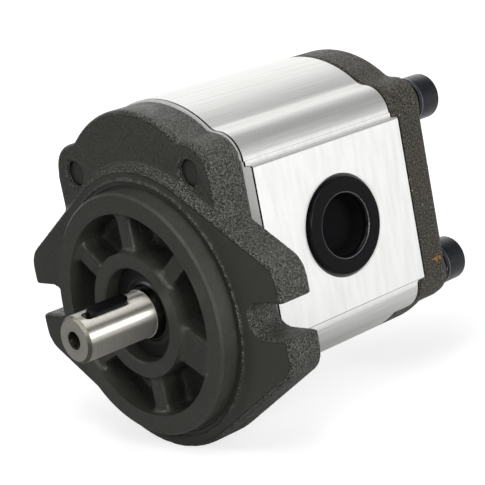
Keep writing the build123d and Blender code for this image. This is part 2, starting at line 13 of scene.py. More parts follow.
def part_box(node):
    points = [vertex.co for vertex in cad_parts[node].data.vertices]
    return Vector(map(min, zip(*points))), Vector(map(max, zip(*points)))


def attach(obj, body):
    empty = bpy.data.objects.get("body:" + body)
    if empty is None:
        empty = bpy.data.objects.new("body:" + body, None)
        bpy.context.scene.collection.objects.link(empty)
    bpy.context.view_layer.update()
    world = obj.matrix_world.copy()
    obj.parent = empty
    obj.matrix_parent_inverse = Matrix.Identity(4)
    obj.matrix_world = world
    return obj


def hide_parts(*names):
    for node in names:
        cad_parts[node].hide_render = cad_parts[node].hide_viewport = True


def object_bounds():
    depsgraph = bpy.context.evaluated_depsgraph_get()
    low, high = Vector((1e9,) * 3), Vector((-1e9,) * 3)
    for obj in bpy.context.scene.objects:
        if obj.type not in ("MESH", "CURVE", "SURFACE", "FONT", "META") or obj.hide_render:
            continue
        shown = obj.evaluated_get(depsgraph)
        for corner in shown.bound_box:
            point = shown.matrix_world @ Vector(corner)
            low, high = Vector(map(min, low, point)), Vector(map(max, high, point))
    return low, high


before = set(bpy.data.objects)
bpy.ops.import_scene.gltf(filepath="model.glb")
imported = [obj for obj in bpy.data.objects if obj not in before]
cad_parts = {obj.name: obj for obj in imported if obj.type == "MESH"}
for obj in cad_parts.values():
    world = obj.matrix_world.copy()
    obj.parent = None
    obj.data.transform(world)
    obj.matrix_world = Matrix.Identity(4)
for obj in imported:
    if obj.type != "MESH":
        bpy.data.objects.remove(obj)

# The looks of a hydraulic external gear pump. Lengths named _mm are millimetres, and _m are metres.
# The pump's drive axis is Y, its shaft points to -Y and Z is up.

CAD_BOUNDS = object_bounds()
MM = 0.001
ORIGIN = Vector((0.0, 0.0, 0.0))
FLAT_DEG = 0.4  # Faces that meet at less than this are one face.
EDGE_DEG = 28.0  # Faces that meet at more than this have an edge between them.
JOINT_MM = (0.75, 0.5)  # How wide and how deep a casting is drawn in at a joint.
THREAD_FLANK = 1.15  # How steep a thread's V is. At 1 it has no land between turns.
HEAD_R_MM = 7.9  # The tie bolts' heads.
THREAD_CORE_MM = 0.5  # Points closer to the axis than this are the shape's core.

log = logging.getLogger("gear_pump")

Node = bpy.types.Node
Piece = bpy.types.Object
Shape = bmesh.types.BMesh
Link = tuple[Node, str | int]
Value = Link | float | tuple[float, ...]
Pair = tuple[float, float]
Triple = tuple[float, float, float]
Ramp = tuple[float, float, float, float]
Profile = Sequence[Pair]


class Body(Enum):
    """The bodies that new pieces ride on."""

    PUMP = "pump_body"
    DRIVE = "drive_rotor"
    SUCTION_PLUG = "suction_plug"
    PRESSURE_PLUG = "pressure_plug"


class Slot(Enum):
    """The record's material slots."""

    BLACK_CAST = "black_cast_iron"
    DARK_CAST = "dark_cast_iron"
    BARE_ALUMINIUM = "bare_aluminium"
    GROUND_STEEL = "ground_steel"
    BLACK_OXIDE = "black_oxide_steel"
    BLOCK_ALUMINIUM = "block_aluminium"
    BRONZE = "bearing_bronze"
    RUBBER = "seal_rubber"
    SEAL_PLASTIC = "seal_plastic"
    CASE_STEEL = "seal_case_steel"
    SPRING_STEEL = "spring_steel"
    PLUG_PLASTIC = "plug_plastic"


def linear(code: str) -> tuple[float, float, float, float]:
    """Turns an sRGB hex colour into linear light.

    Args:
        code: The colour as "#rrggbb".

    Returns:
        Red, green, blue and an alpha of 1.
    """
    channels = [int(code[i:i + 2], 16) / 255 for i in (1, 3, 5)]
    red, green, blue = (c / 12.92 if c <= 0.04045 else ((c + 0.055) / 1.055) ** 2.4 for c in channels)
    return red, green, blue, 1.0


def per_mm(size_mm: float) -> float:
    """The texture scale at which one feature is about size_mm wide."""
    return 1.0 / (size_mm * MM)


class Nodes:
    """The nodes of one material or world, with a short method for each common step.

    A step's values are numbers, tuples or the (node, output) links that other steps give.
    """

    def __init__(self, owner: bpy.types.Material | bpy.types.World) -> None:
        """Empties the owner's node tree and adds texture coordinates.

        Args:
            owner: The material or world.
        """
        owner.use_nodes = True
        self.tree = owner.node_tree
        self.tree.nodes.clear()
        self.coordinates = self.add("ShaderNodeTexCoord")
        self.place: Link = (self.coordinates, "Object")
        self.shader: Node | None = None
        self.fed: dict[str, Link] = {}

    def add(self, kind: str, inputs: dict[str | int, Value] | None = None, **settings: object) -> Node:
        """Adds a node with its settings, input values and links.

        Args:
            kind: The node's type.
            inputs: Values or links, by input name or number.
            settings: The node's own properties.

        Returns:
            The new node.
        """
        node = self.tree.nodes.new(kind)
        for name, value in settings.items():
            setattr(node, name, value)
        for key, value in (inputs or {}).items():
            if isinstance(value, tuple) and isinstance(value[0], Node):
                self.tree.links.new(value[0].outputs[value[1]], node.inputs[key])
            else:
                node.inputs[key].default_value = value
        return node

    def feed(self, inputs: dict[str, Link]) -> None:
        """Links steps to the shader's sockets, and keeps them in fed for later layers.

        Args:
            inputs: The links, by socket.
        """
        for name, (node, output) in inputs.items():
            self.tree.links.new(node.outputs[output], self.shader.inputs[name])
        self.fed.update(inputs)

    def math(self, operation: str, *values: Value) -> Link:
        """One step of arithmetic."""
        return self.add("ShaderNodeMath", dict(enumerate(values)), operation=operation), 0

    def vector(self, operation: str, *values: Value) -> Link:
        """One step of vector arithmetic."""
        node = self.add("ShaderNodeVectorMath", dict(enumerate(values)), operation=operation)
        return node, "Value" if operation == "LENGTH" else 0

    def along(self, axis: str, source: str = "Object") -> Link:
        """One axis of the place, or of other coordinates."""
        return self.add("ShaderNodeSeparateXYZ", {0: (self.coordinates, source)}), axis

    def facing(self, axis: str) -> Link:
        """How squarely the surface faces along an axis, from 0 to 1."""
        return self.math("ABSOLUTE", self.along(axis, "Normal"))

    def radius(self, place: Link | None = None, across: Triple = (1.0, 0.0, 1.0)) -> Link:
        """The distance from an axis through the origin, which is the drive axis if nothing else is said."""
        return self.vector("LENGTH", self.vector("MULTIPLY", place or self.place, across))

    def shifted(self, centre_mm: Triple) -> Link:
        """The place, measured from another centre."""
        return self.vector("SUBTRACT", self.place, tuple(v * MM for v in centre_mm))

    def band(self, value: Link, start_mm: float, end_mm: float) -> Link:
        """A mask that is 1 where a length lies between two limits."""
        return self.math("COMPARE", value, (start_mm + end_mm) / 2 * MM, (end_mm - start_mm) / 2 * MM)

    def ramp(self, value: Link, *spans: Value, curve: str = "LINEAR") -> Link:
        """Turns a span, start to end, into another, which is 0 to 1 if nothing else is said."""
        inputs = dict(zip(("Value", "From Min", "From Max", "To Min", "To Max"), (value, *spans)))
        return self.add("ShaderNodeMapRange", inputs, interpolation_type=curve), 0

    def mix(self, share: Value, first: Value, second: Value) -> Link:
        """Goes from one number to another by a share."""
        return self.add("ShaderNodeMix", {0: share, 2: first, 3: second}, data_type="FLOAT"), 0

    def paint(self, share: Value, first: Link | str, second: Link | str) -> Link:
        """Goes from one colour to another by a share. A colour is a link or a hex code."""
        ends = [linear(colour) if isinstance(colour, str) else colour for colour in (first, second)]
        return self.add("ShaderNodeMix", {0: share, 6: ends[0], 7: ends[1]}, data_type="RGBA"), 2

    def noise(self, size_mm: float, detail: float, place: Link | None = None, rough: float = 0.5) -> Link:
        """Adds noise whose features are about size_mm wide."""
        inputs = {"Vector": place or self.place, "Scale": per_mm(size_mm), "Detail": detail}
        return self.add("ShaderNodeTexNoise", {**inputs, "Roughness": rough}), "Fac"

    def lines(self, size_mm: Triple, detail: float) -> Link:
        """Adds noise whose features have their own size along each axis."""
        scale = tuple(per_mm(size) for size in size_mm)
        drawn = self.add("ShaderNodeMapping", {"Vector": self.place, "Scale": scale})
        return self.add("ShaderNodeTexNoise", {"Vector": (drawn, 0), "Scale": 1.0, "Detail": detail}), "Fac"

    def rays(self) -> tuple[Link, Link]:
        """Two masks: rays that see the background as it is, and rays that a gloss sends."""
        path = self.add("ShaderNodeLightPath")
        straight = self.math("MAXIMUM", (path, "Is Camera Ray"), (path, "Is Transmission Ray"))
        return straight, (path, "Is Glossy Ray")

    def glow(self, kind: str, strength: Link) -> Link:
        """Adds a white light of the given node type."""
        return self.add(kind, {"Color": linear("#ffffff"), "Strength": strength}), 0

    def bump(self, height: Link, depth_mm: float, strength: float = 0.5, under: Link | None = None) -> Link:
        """Turns a height into a normal, on top of another normal if there is one."""
        inputs = {"Height": height, "Distance": depth_mm * MM, "Strength": strength}
        return self.add("ShaderNodeBump", {**inputs, "Normal": under} if under else inputs), "Normal"


@dataclass(frozen=True)
class Finish:
    """A named finish. Each kind adds its own texture to the shader in weave."""

    name: str
    colour: str
    roughness: float
    metallic: float = 0.0
    specular: float = 0.5
    gloss_spread: float = 0.05
    gloss_span: Pair = (0.3, 0.7)

    def material(self) -> bpy.types.Material:
        """Builds the finish as a node material.

        Returns:
            The material, ready to assign.
        """
        made = bpy.data.materials.new(self.name)
        nodes = Nodes(made)
        nodes.shader = nodes.add("ShaderNodeBsdfPrincipled", {
            "Base Color": linear(self.colour),
            "Roughness": self.roughness,
            "Metallic": self.metallic,
            "Specular IOR Level": self.specular,
        })
        nodes.add("ShaderNodeOutputMaterial", {"Surface": (nodes.shader, "BSDF")})
        self.weave(nodes)
        return made

    def gloss(self, nodes: Nodes, texture: Link) -> Link:
        """A roughness that varies with a texture."""
        low, high = self.roughness - self.gloss_spread, self.roughness + self.gloss_spread
        return nodes.ramp(texture, *self.gloss_span, low, high)

    def weave(self, nodes: Nodes) -> None:
        """Adds the finish's texture. A plain finish has none."""


@dataclass(frozen=True)
class CastIron(Finish):
    """Sand-cast iron under thin paint. The sand leaves a pitted grain, which turned faces lack."""

    gloss_spread: float = 0.08
    pale: str = "#45443f"
    tint_span: Pair = (0.45, 0.62)
    grit_mm: float = 0.75
    grit_height_mm: float = 0.5
    ripple_mm: float = 4.5
    ripple_height_mm: float = 0.3
    square_span: Pair = (0.93, 0.99)
    turned_share: float = 0.1
    turned_tone: float = 0.3
    turned_r_mm: Pair | None = None
    plate_m: Pair = (0.0004, 0.0012)
    plate_share: float = 0.15
    pocket_m: Pair = (0.0001, 0.0006)
    pocket_calm: float = 0.75
    # Painted highlight colour: glints on the grit's peaks, and the line at the pilot's foot.
    glint: str = "#8f8d84"
    glint_share: float = 0.6
    glint_step: float = 0.05
    dust: str = "#a3a093"
    dust_cell_mm: float = 5.0
    dust_radius: float = 0.045
    dust_share: float = 0.12
    # Where the paint is worn at the pilot's foot, drawn pale as a painted highlight too.
    bare_ring_highlight_mm: Pair | None = None
    worn_highlight_span: Pair = (0.66, 0.72)
    stain: str = "#96652f"
    stain_at_mm: Triple | None = None
    stain_size_mm: Triple = (1.5, 2.9, 0.85)
    stain_edge_mm: float = 1.3
    stain_reach: Ramp = (0.4, 0.6, 0.1, 1.1)

    def dust_mask(self, nodes: Nodes) -> Link:
        """Adds a mask of small sparse specks.

        Args:
            nodes: The material's nodes.

        Returns:
            The mask, 1 on a speck.
        """
        inputs = {"Vector": nodes.place, "Scale": per_mm(self.dust_cell_mm)}
        cells = nodes.add("ShaderNodeTexVoronoi", inputs)
        spot = nodes.math("LESS_THAN", (cells, "Distance"), self.dust_radius)
        pick = nodes.add("ShaderNodeSeparateColor", {0: (cells, "Color")})
        return nodes.math("MULTIPLY", spot, nodes.math("LESS_THAN", (pick, 0), self.dust_share))

    def turned_mask(self, nodes: Nodes) -> Link:
        """Adds a mask of the walls that a lathe cut in front of the mounting face.

        Args:
            nodes: The material's nodes.

        Returns:
            The mask, 1 on those walls.
        """
        pilot, bore = (nodes.band(nodes.radius(), -reach, reach) for reach in self.turned_r_mm)
        ahead = nodes.ramp(nodes.along("Y"), *self.pocket_m, 1.0, self.pocket_calm)
        return nodes.math("MAXIMUM", nodes.math("MULTIPLY", pilot, ahead), bore)

    def stain_mask(self, nodes: Nodes) -> Link:
        """Adds a mask of one small rust mark with a ragged edge.

        Args:
            nodes: The material's nodes.

        Returns:
            The mask, 1 on the mark.
        """
        size = tuple(per_mm(v) for v in self.stain_size_mm)
        reach = nodes.vector("LENGTH", nodes.vector("MULTIPLY", nodes.shifted(self.stain_at_mm), size))
        ragged = nodes.noise(self.stain_edge_mm, 3.0)
        return nodes.math("LESS_THAN", reach, nodes.ramp(ragged, *self.stain_reach))

    def weave(self, nodes: Nodes) -> None:
        """Adds grit, ripple, painted glints, pale dust specks, marks and an uneven gloss. The line at the
        pilot's foot is worn paint and a painted highlight.

        Args:
            nodes: The material's nodes.
        """
        grit = nodes.noise(self.grit_mm, 3.0, rough=0.6)
        ripple = nodes.noise(self.ripple_mm, 2.0)
        # Faces square to the shaft are turned or milled up to the mounting face, so their grain lies lower.
        front = nodes.ramp(nodes.along("Y"), *self.plate_m, 1.0, 1.0 - self.plate_share)
        calm = nodes.ramp(nodes.facing("Y"), *self.square_span, 0.0, front)
        if self.turned_r_mm:
            calm = nodes.math("MAXIMUM", calm, self.turned_mask(nodes))
        depth = nodes.ramp(calm, 0.0, 1.0, 1.0, self.turned_share)
        pits = nodes.math("MULTIPLY", grit, depth)
        wave = nodes.bump(ripple, self.ripple_height_mm, 0.6)
        shade = nodes.mix(depth, self.turned_tone, nodes.ramp(grit, *self.tint_span))
        base = nodes.paint(shade, self.colour, self.pale)
        # Painted highlights: pale glints on the grit's peaks stand in for the paint's sparkle.
        peak = nodes.ramp(grit, self.glint_share, self.glint_share + self.glint_step)
        glints = nodes.math("MULTIPLY", peak, depth)
        layers = [(glints, self.glint), (self.dust_mask(nodes), self.dust)]
        # Worn paint and a painted highlight: a broken pale line at the pilot's foot.
        if self.bare_ring_highlight_mm:
            foot = nodes.band(nodes.radius(), *self.bare_ring_highlight_mm)
            worn_highlight = nodes.math("MULTIPLY", foot, nodes.ramp(ripple, *self.worn_highlight_span))
            layers.append((worn_highlight, self.glint))
        if self.stain_at_mm:
            layers.append((self.stain_mask(nodes), self.stain))
        for mask, colour in layers:
            base = nodes.paint(mask, base, colour)
        nodes.feed({
            "Base Color": base,
            "Roughness": self.gloss(nodes, ripple),
            "Normal": nodes.bump(pits, self.grit_height_mm, 1.0, wave),
        })


@dataclass(frozen=True)
class ExtrudedAluminium(Finish):
    """Extruded aluminium with soft die lines along it. Its flat side pads are milled and paler."""

    shade: str = "#cfcfcc"
    tint_span: Pair = (0.35, 0.65)
    milled: str = "#fafaf8"
    milled_shade: str = "#f1f1ef"
    milled_roughness: float = 0.36
    milled_span: Pair = (0.985, 0.999)
    milled_lines: float = 0.05
    wiped_span: Pair = (0.4, 0.7)
    end_metallic: float = 0.1
    end_span: Pair = (0.9, 0.99)
    joints_mm: Pair = (16.6, 85.7)
    joint_width_mm: float = 0.7
    joint_facing: float = 0.97
    # The colour of the painted shade in the joints.
    seam_shade: str = "#0c0c0b"
    line_mm: Triple = (0.7, 45.0, 0.7)
    line_height_mm: float = 0.012
    streak_mm: Triple = (2.2, 2.2, 14.0)
    grain_mm: float = 0.5
    grain_share: float = 0.3

    def weave(self, nodes: Nodes) -> None:
        """Adds die lines, a fine grain, the milled pads and painted shade in the joints.

        Args:
            nodes: The material's nodes.
        """
        lines, streaks = nodes.lines(self.line_mm, 3.0), nodes.lines(self.streak_mm, 4.0)
        endways = nodes.facing("Y")
        flattest = nodes.math("MAXIMUM", nodes.facing("X"), endways)
        milled = nodes.ramp(flattest, *self.milled_span)
        both = nodes.mix(self.grain_share, lines, nodes.noise(self.grain_mm, 2.0))
        drawn = nodes.paint(nodes.ramp(both, *self.tint_span), self.colour, self.shade)
        pad = nodes.paint(nodes.ramp(streaks, *self.wiped_span), self.milled, self.milled_shade)
        dull = nodes.ramp(endways, *self.end_span, self.metallic, self.end_metallic)
        # Painted shade: a dark line in both joints stands in for the shadow in the seams between the housing
        # and the covers.
        width = self.joint_width_mm
        joints = [nodes.band(nodes.along("Y"), at - width, at + width) for at in self.joints_mm]
        across = nodes.math("LESS_THAN", endways, self.joint_facing)
        seam_shade = nodes.math("MULTIPLY", nodes.math("MAXIMUM", *joints), across)
        lie = nodes.ramp(milled, 0.0, 1.0, 1.0, self.milled_lines)
        nodes.feed({
            "Base Color": nodes.paint(seam_shade, nodes.paint(milled, drawn, pad), self.seam_shade),
            "Metallic": nodes.math("MAXIMUM", dull, seam_shade),
            "Roughness": nodes.ramp(milled, 0.0, 1.0, self.roughness, self.milled_roughness),
            "Normal": nodes.bump(nodes.math("MULTIPLY", both, lie), self.line_height_mm),
        })


@dataclass(frozen=True)
class TurnedSteel(Finish):
    """Steel turned and ground about the Y axis. Its marks run round it, so highlights stretch along it."""

    gloss_spread: float = 0.03
    shade: str = "#c6c3ba"
    tint_span: Pair = (0.35, 0.7)
    mark_mm: float = 0.16
    mark_height_mm: float = 0.0015
    anisotropy: float = 1.0
    anisotropy_turn: float = 0.25
    end_span: Pair = (0.2, 0.5)
    end_roughness: float = 0.62
    end_lay: Triple = (0.3, 0.0, 1.0)
    # Painted shade: the chamfer colour darkens the chamfers so that they don't catch a highlight.
    chamfer: str = "#86837a"
    chamfer_shade_facing: Pair = (0.6, 0.3)
    # Painted shade: the hole colour darkens the centre hole in the shaft's tip, where shade falls.
    hole: str = "#3b3831"
    hole_r_mm: float = 3.1
    # Painted shade for the journal inside the hub.
    journal: str = "#2e2d2a"
    journal_r_mm: float = 8.3
    journal_end_mm: float = 18.0

    def weave(self, nodes: Nodes) -> None:
        """Adds marks that follow the radius and the length, the stretched gloss, and painted shade on the
        chamfers, in the centre hole and on the journal.

        Args:
            nodes: The material's nodes.
        """
        radius, length = nodes.radius(), nodes.along("Y")
        lathe = nodes.add("ShaderNodeCombineXYZ", {"X": radius, "Y": length})
        marks = nodes.noise(self.mark_mm, 2.0, (lathe, 0))
        base = nodes.paint(nodes.ramp(marks, *self.tint_span), self.colour, self.shade)
        # The ends are only turned, so they are duller than the ground length.
        square_on = nodes.facing("Y")
        end = nodes.ramp(square_on, *self.end_span)
        # Painted shade on the chamfers.
        chamfer_shade_mask = nodes.math("COMPARE", square_on, *self.chamfer_shade_facing)
        # Painted shade in the centre hole.
        hole = nodes.math("LESS_THAN", radius, self.hole_r_mm * MM)
        # Painted shade: the journal behind the seal lip, inside the hub, is painted dark.
        wide = nodes.math("GREATER_THAN", radius, self.journal_r_mm * MM)
        near = nodes.math("LESS_THAN", length, self.journal_end_mm * MM)
        shaded_journal = nodes.math("MULTIPLY", wide, near)
        for mask, colour in ((chamfer_shade_mask, self.chamfer), (hole, self.hole), (shaded_journal, self.journal)):
            base = nodes.paint(mask, base, colour)
        nodes.shader.inputs["Anisotropic"].default_value = self.anisotropy
        nodes.shader.inputs["Anisotropic Rotation"].default_value = self.anisotropy_turn
        round_axis = nodes.vector("CROSS_PRODUCT", (0.0, 1.0, 0.0), nodes.place)
        lay = nodes.add("ShaderNodeMix", {0: end, 4: round_axis, 5: self.end_lay}, data_type="VECTOR")
        ways = {"vector_type": "VECTOR", "convert_from": "OBJECT", "convert_to": "WORLD"}
        nodes.feed({
            "Base Color": base,
            "Roughness": nodes.mix(end, self.gloss(nodes, marks), self.end_roughness),
            "Normal": nodes.bump(marks, self.mark_height_mm),
            "Tangent": (nodes.add("ShaderNodeVectorTransform", {0: (lay, 1)}, **ways), 0),
        })


@dataclass(frozen=True)
class DrawnMetal(Finish):
    """Metal with fine lines all one way, as extrusion, grinding or milling leaves them."""

    gloss_spread: float = 0.06
    line_mm: Triple = (0.35, 30.0, 0.35)
    line_height_mm: float = 0.02
    line_share: float = 0.5
    shade: str = "#a8a9ab"
    tint_span: Pair = (0.35, 0.65)
    blotch_mm: float = 9.0

    def weave(self, nodes: Nodes) -> None:
        """Adds the lines and soft blotches.

        Args:
            nodes: The material's nodes.
        """
        lines = nodes.lines(self.line_mm, 4.0)
        both = nodes.mix(self.line_share, lines, nodes.noise(self.blotch_mm, 3.0))
        nodes.feed({
            "Base Color": nodes.paint(nodes.ramp(both, *self.tint_span), self.colour, self.shade),
            "Roughness": self.gloss(nodes, lines),
            "Normal": nodes.bump(lines, self.line_height_mm),
        })


@dataclass(frozen=True)
class SmoothCoat(Finish):
    """Plastic, rubber, oxide or plated metal: even, with a faint mottle in colour and gloss."""

    pale: str = "#222326"
    tint_span: Pair = (0.35, 0.7)
    mottle_mm: float = 1.4
    mottle_height_mm: float = 0.01

    def weave(self, nodes: Nodes) -> None:
        """Adds the mottle.

        Args:
            nodes: The material's nodes.
        """
        mottle = nodes.noise(self.mottle_mm, 4.0)
        nodes.feed({
            "Base Color": nodes.paint(nodes.ramp(mottle, *self.tint_span), self.colour, self.pale),
            "Roughness": self.gloss(nodes, mottle),
            "Normal": nodes.bump(mottle, self.mottle_height_mm),
        })


@dataclass(frozen=True)
class PlugPlastic(SmoothCoat):
    """Glossy moulded plastic, dull in the bowl of the plug, with a painted highlight: a pale ring round the
    mouth.
    """

    bowl_x_mm: float = 42.9
    bowl_roughness: float = 0.85
    port_at_mm: Triple = (0.0, 51.15, 15.75)
    # Painted highlight: a pale ring round the bowl's mouth.
    edge: str = "#4e4e50"
    mouth_highlight_r_mm: Pair = (10.75, 11.05)

    def weave(self, nodes: Nodes) -> None:
        """Adds the mottle, the dull bowl and the painted highlight round the mouth.

        Args:
            nodes: The material's nodes.
        """
        super().weave(nodes)
        depth = nodes.math("ABSOLUTE", nodes.along("X"))
        inside = nodes.math("LESS_THAN", depth, self.bowl_x_mm * MM)
        radius = nodes.radius(nodes.shifted(self.port_at_mm), (0.0, 1.0, 1.0))
        outside = nodes.math("SUBTRACT", 1.0, inside)
        # Painted highlight round the mouth, outside the bowl.
        edge = nodes.math("MULTIPLY", nodes.band(radius, *self.mouth_highlight_r_mm), outside)
        nodes.feed({
            "Base Color": nodes.paint(edge, nodes.fed["Base Color"], self.edge),
            "Roughness": nodes.mix(inside, nodes.fed["Roughness"], self.bowl_roughness),
        })


@dataclass(frozen=True)
class BlackOxide(SmoothCoat):
    """Black oxide on steel. The bolt tips have caught the cover's paint. A dark band over the washers is
    painted shade under the heads, and pale bands at the heads' feet are painted highlights.

    Each band is a stretch of the Y axis with its colour and how metallic it is.
    """

    bands_mm: tuple[tuple[float, float, str, float], ...] = (
        (-0.5, 5.4, "#2e2e2b", 0.0),
        # Painted shade: the washers under the heads, darkened.
        (101.0, 103.8, "#0a0a0b", 1.0),
        (-32.0, -4.0, "#2c2c2f", 1.0),
        # Painted highlights: two pale bands at the heads' feet.
        (104.1, 104.4, "#8a8890", 1.0),
        (105.1, 105.35, "#8a8890", 1.0),
    )

    def weave(self, nodes: Nodes) -> None:
        """Adds the mottle and the bands: tips in the cover's paint, painted shade on the washers, the key
        and painted highlights at the heads' feet.

        Args:
            nodes: The material's nodes.
        """
        super().weave(nodes)
        base, metal = nodes.fed["Base Color"], self.metallic
        for start, end, colour, metallic in self.bands_mm:
            band = nodes.band(nodes.along("Y"), start, end)
            base = nodes.paint(band, base, colour)
            metal = nodes.mix(band, metal, metallic)
        nodes.feed({"Base Color": base, "Metallic": metal})


FINISHES: dict[Slot, Finish] = {
    Slot.BLACK_CAST: CastIron(
        "matt_black_cast_iron", "#0f0f0e", 0.4, specular=0.38, pale="#62625a", grit_height_mm=0.9,
        grit_mm=0.55, bare_ring_highlight_mm=(42.1, 42.4), turned_r_mm=(41.8, 16.7), glint_share=0.7, turned_tone=0.24,
    ),
    Slot.DARK_CAST: CastIron(
        "brown_black_cast_iron", "#0c0b08", 0.48, specular=0.3, pale="#565145", grit_height_mm=0.8,
        grit_mm=0.65, turned_share=0.8, glint="#77715f", glint_share=0.66, stain_at_mm=(40.3, 96.8, -8.9),
    ),
    Slot.BARE_ALUMINIUM: ExtrudedAluminium("extruded_aluminium", "#dededc", 0.42, 0.92),
    Slot.GROUND_STEEL: TurnedSteel("ground_steel", "#d4d1c8", 0.42, 1.0),
    Slot.BLACK_OXIDE: BlackOxide("black_oxide_steel", "#15161a", 0.34, 0.5, pale="#23252a", specular=0.4),
    Slot.BLOCK_ALUMINIUM: DrawnMetal(
        "die_cast_block_aluminium", "#b9bbbd", 0.45, 1.0, line_mm=(0.5, 0.5, 0.5), shade="#a2a4a7",
    ),
    Slot.BRONZE: DrawnMetal(
        "bearing_bronze", "#b0853f", 0.35, 1.0, line_mm=(20.0, 0.2, 20.0), shade="#94703a",
    ),
    Slot.RUBBER: SmoothCoat("nitrile_rubber", "#101010", 0.4, pale="#191918", mottle_mm=0.8, specular=0.4),
    Slot.SEAL_PLASTIC: SmoothCoat("ptfe_plastic", "#d9d6cc", 0.4, pale="#e6e3da", mottle_mm=1.0),
    Slot.CASE_STEEL: SmoothCoat(
        "rubber_coated_case_steel", "#101010", 0.5, pale="#1a1a19", mottle_mm=0.6, specular=0.3,
    ),
    Slot.SPRING_STEEL: DrawnMetal("spring_wire_steel", "#a9a8a4", 0.3, 1.0, shade="#8b8a86"),
    Slot.PLUG_PLASTIC: PlugPlastic("gloss_black_plastic", "#08080a", 0.13, pale="#0c0c0e", specular=0.09),
}


def cad_mesh(node: str) -> Shape:
    """A copy of a CAD node's mesh, its loose triangles joined into whole faces.

    Args:
        node: The CAD node.

    Returns:
        The copy as a bmesh.
    """
    made = bmesh.new()
    made.from_mesh(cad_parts[node].data)
    bmesh.ops.remove_doubles(made, verts=made.verts, dist=0.002 * MM)
    limit = math.radians(FLAT_DEG)
    bmesh.ops.dissolve_limit(made, angle_limit=limit, verts=made.verts, edges=made.edges)
    return made


def break_edges(made: Shape, width_mm: float) -> None:
    """Rounds every edge of a shape.

    Args:
        made: The shape, changed in place.
        width_mm: The width of the rounding.
    """
    limit = math.radians(EDGE_DEG)
    sharp = [e for e in made.edges if len(e.link_faces) == 2 and e.calc_face_angle(0.0) > limit]
    bmesh.ops.bevel(
        made, geom=sharp, offset=width_mm * MM, offset_type="OFFSET", segments=2, profile=0.5,
        affect="EDGES", clamp_overlap=True, material=-1,
    )


def mark_sharp(piece: Piece, smooth_deg: float) -> None:
    """Shades a piece smooth, apart from edges sharper than an angle."""
    mesh = piece.data
    mesh.polygons.foreach_set("use_smooth", [True] * len(mesh.polygons))
    mesh.set_sharp_from_angle(angle=math.radians(smooth_deg))


def add_object(name: str, data: bpy.types.ID) -> Piece:
    """Adds an object to the scene."""
    made = bpy.data.objects.new(name, data)
    bpy.context.scene.collection.objects.link(made)
    return made


def to_object(made: Shape, name: str, smooth_deg: float = 32.0) -> Piece:
    """Turns a bmesh into an object in the scene, shaded smooth up to an angle.

    Args:
        made: The bmesh, freed here.
        name: The object's name.
        smooth_deg: Edges sharper than this stay sharp.

    Returns:
        The object.
    """
    mesh = bpy.data.meshes.new(name)
    made.to_mesh(mesh)
    made.free()
    piece = add_object(name, mesh)
    mark_sharp(piece, smooth_deg)
    return piece


def evaluated_mesh(piece: Piece) -> bpy.types.Mesh:
    """The mesh that a piece's modifiers or curve settings make."""
    graph = bpy.context.evaluated_depsgraph_get()
    graph.update()
    return bpy.data.meshes.new_from_object(piece.evaluated_get(graph))


def settle(piece: Piece) -> None:
    """Applies a piece's modifiers.

    Args:
        piece: The piece, changed in place.
    """
    old, piece.data = piece.data, evaluated_mesh(piece)
    piece.modifiers.clear()
    piece.data.name = old.name
    bpy.data.meshes.remove(old)


def relax(piece: Piece, passes: int, rate: float, hollows_only: bool = False) -> None:
    """Moves each vertex towards the middle of its neighbours.

    Args:
        piece: The piece, changed in place.
        passes: How many times.
        rate: The share of the way that a vertex goes. Less than 0 pushes it back out.
        hollows_only: Only fills inner corners, along the normals, and leaves the rest in place.
    """
    mesh = piece.data

    def read(key: str) -> np.ndarray:
        """One row of X, Y and Z for each vertex."""
        values = np.empty(len(mesh.vertices) * 3)
        mesh.vertices.foreach_get(key, values)
        return values.reshape(-1, 3)

    spots = read("co")
    ends = np.empty(len(mesh.edges) * 2, dtype=np.int64)
    mesh.edges.foreach_get("vertices", ends)
    first, last = ends[0::2], ends[1::2]
    shares = np.maximum(np.bincount(ends, minlength=len(spots)), 1)[:, None]
    for _ in range(passes):
        sums = np.zeros_like(spots)
        np.add.at(sums, first, spots[last])
        np.add.at(sums, last, spots[first])
        pull = sums / shares - spots
        if hollows_only:
            ways = read("normal")
            pull = ways * np.maximum((pull * ways).sum(axis=1), 0.0)[:, None]
        spots += rate * pull
        mesh.vertices.foreach_set("co", spots.ravel())
        mesh.update()


def spun(
    profile: Profile, centre_mm: Triple = (0.0, 0.0, 0.0), axis: str = "Y", steps: int = 96,
) -> Shape:
    """Spins a closed profile of (distance along the axis, radius) points in mm about an axis.

    Args:
        profile: The profile's points.
        centre_mm: A point on the axis.
        axis: X or Y, the direction of the axis.
        steps: How many steps make the full turn.

    Returns:
        The closed shape.
    """
    made = bmesh.new()
    spots = [(along, radius, 0.0) if axis == "X" else (radius, along, 0.0) for along, radius in profile]
    ring = [made.verts.new(Vector(spot) * MM) for spot in spots]
    edges = [made.edges.new((a, b)) for a, b in zip(ring, ring[1:] + ring[:1])]
    turn_axis = Vector((1, 0, 0) if axis == "X" else (0, 1, 0))
    bmesh.ops.spin(
        made, geom=ring + edges, cent=ORIGIN, axis=turn_axis, angle=math.tau, steps=steps, use_merge=True,
    )
    bmesh.ops.remove_doubles(made, verts=made.verts, dist=0.001 * MM)
    bmesh.ops.dissolve_degenerate(made, edges=made.edges, dist=0.0005 * MM)
    bmesh.ops.recalc_face_normals(made, faces=made.faces)
    bmesh.ops.translate(made, verts=made.verts, vec=Vector(centre_mm) * MM)
    return made


def cut(piece: Piece, *shapes: Shape) -> None:
    """Cuts a piece with tool shapes, one after another.

    Args:
        piece: The piece, changed in place.
        shapes: The closed shapes, freed here.
    """
    for shape in shapes:
        tool = to_object(shape, "tool")
        change = piece.modifiers.new("cut", "BOOLEAN")
        change.operation = "DIFFERENCE"
        change.solver = "EXACT"
        change.object = tool
        settle(piece)
        bpy.data.objects.remove(tool)


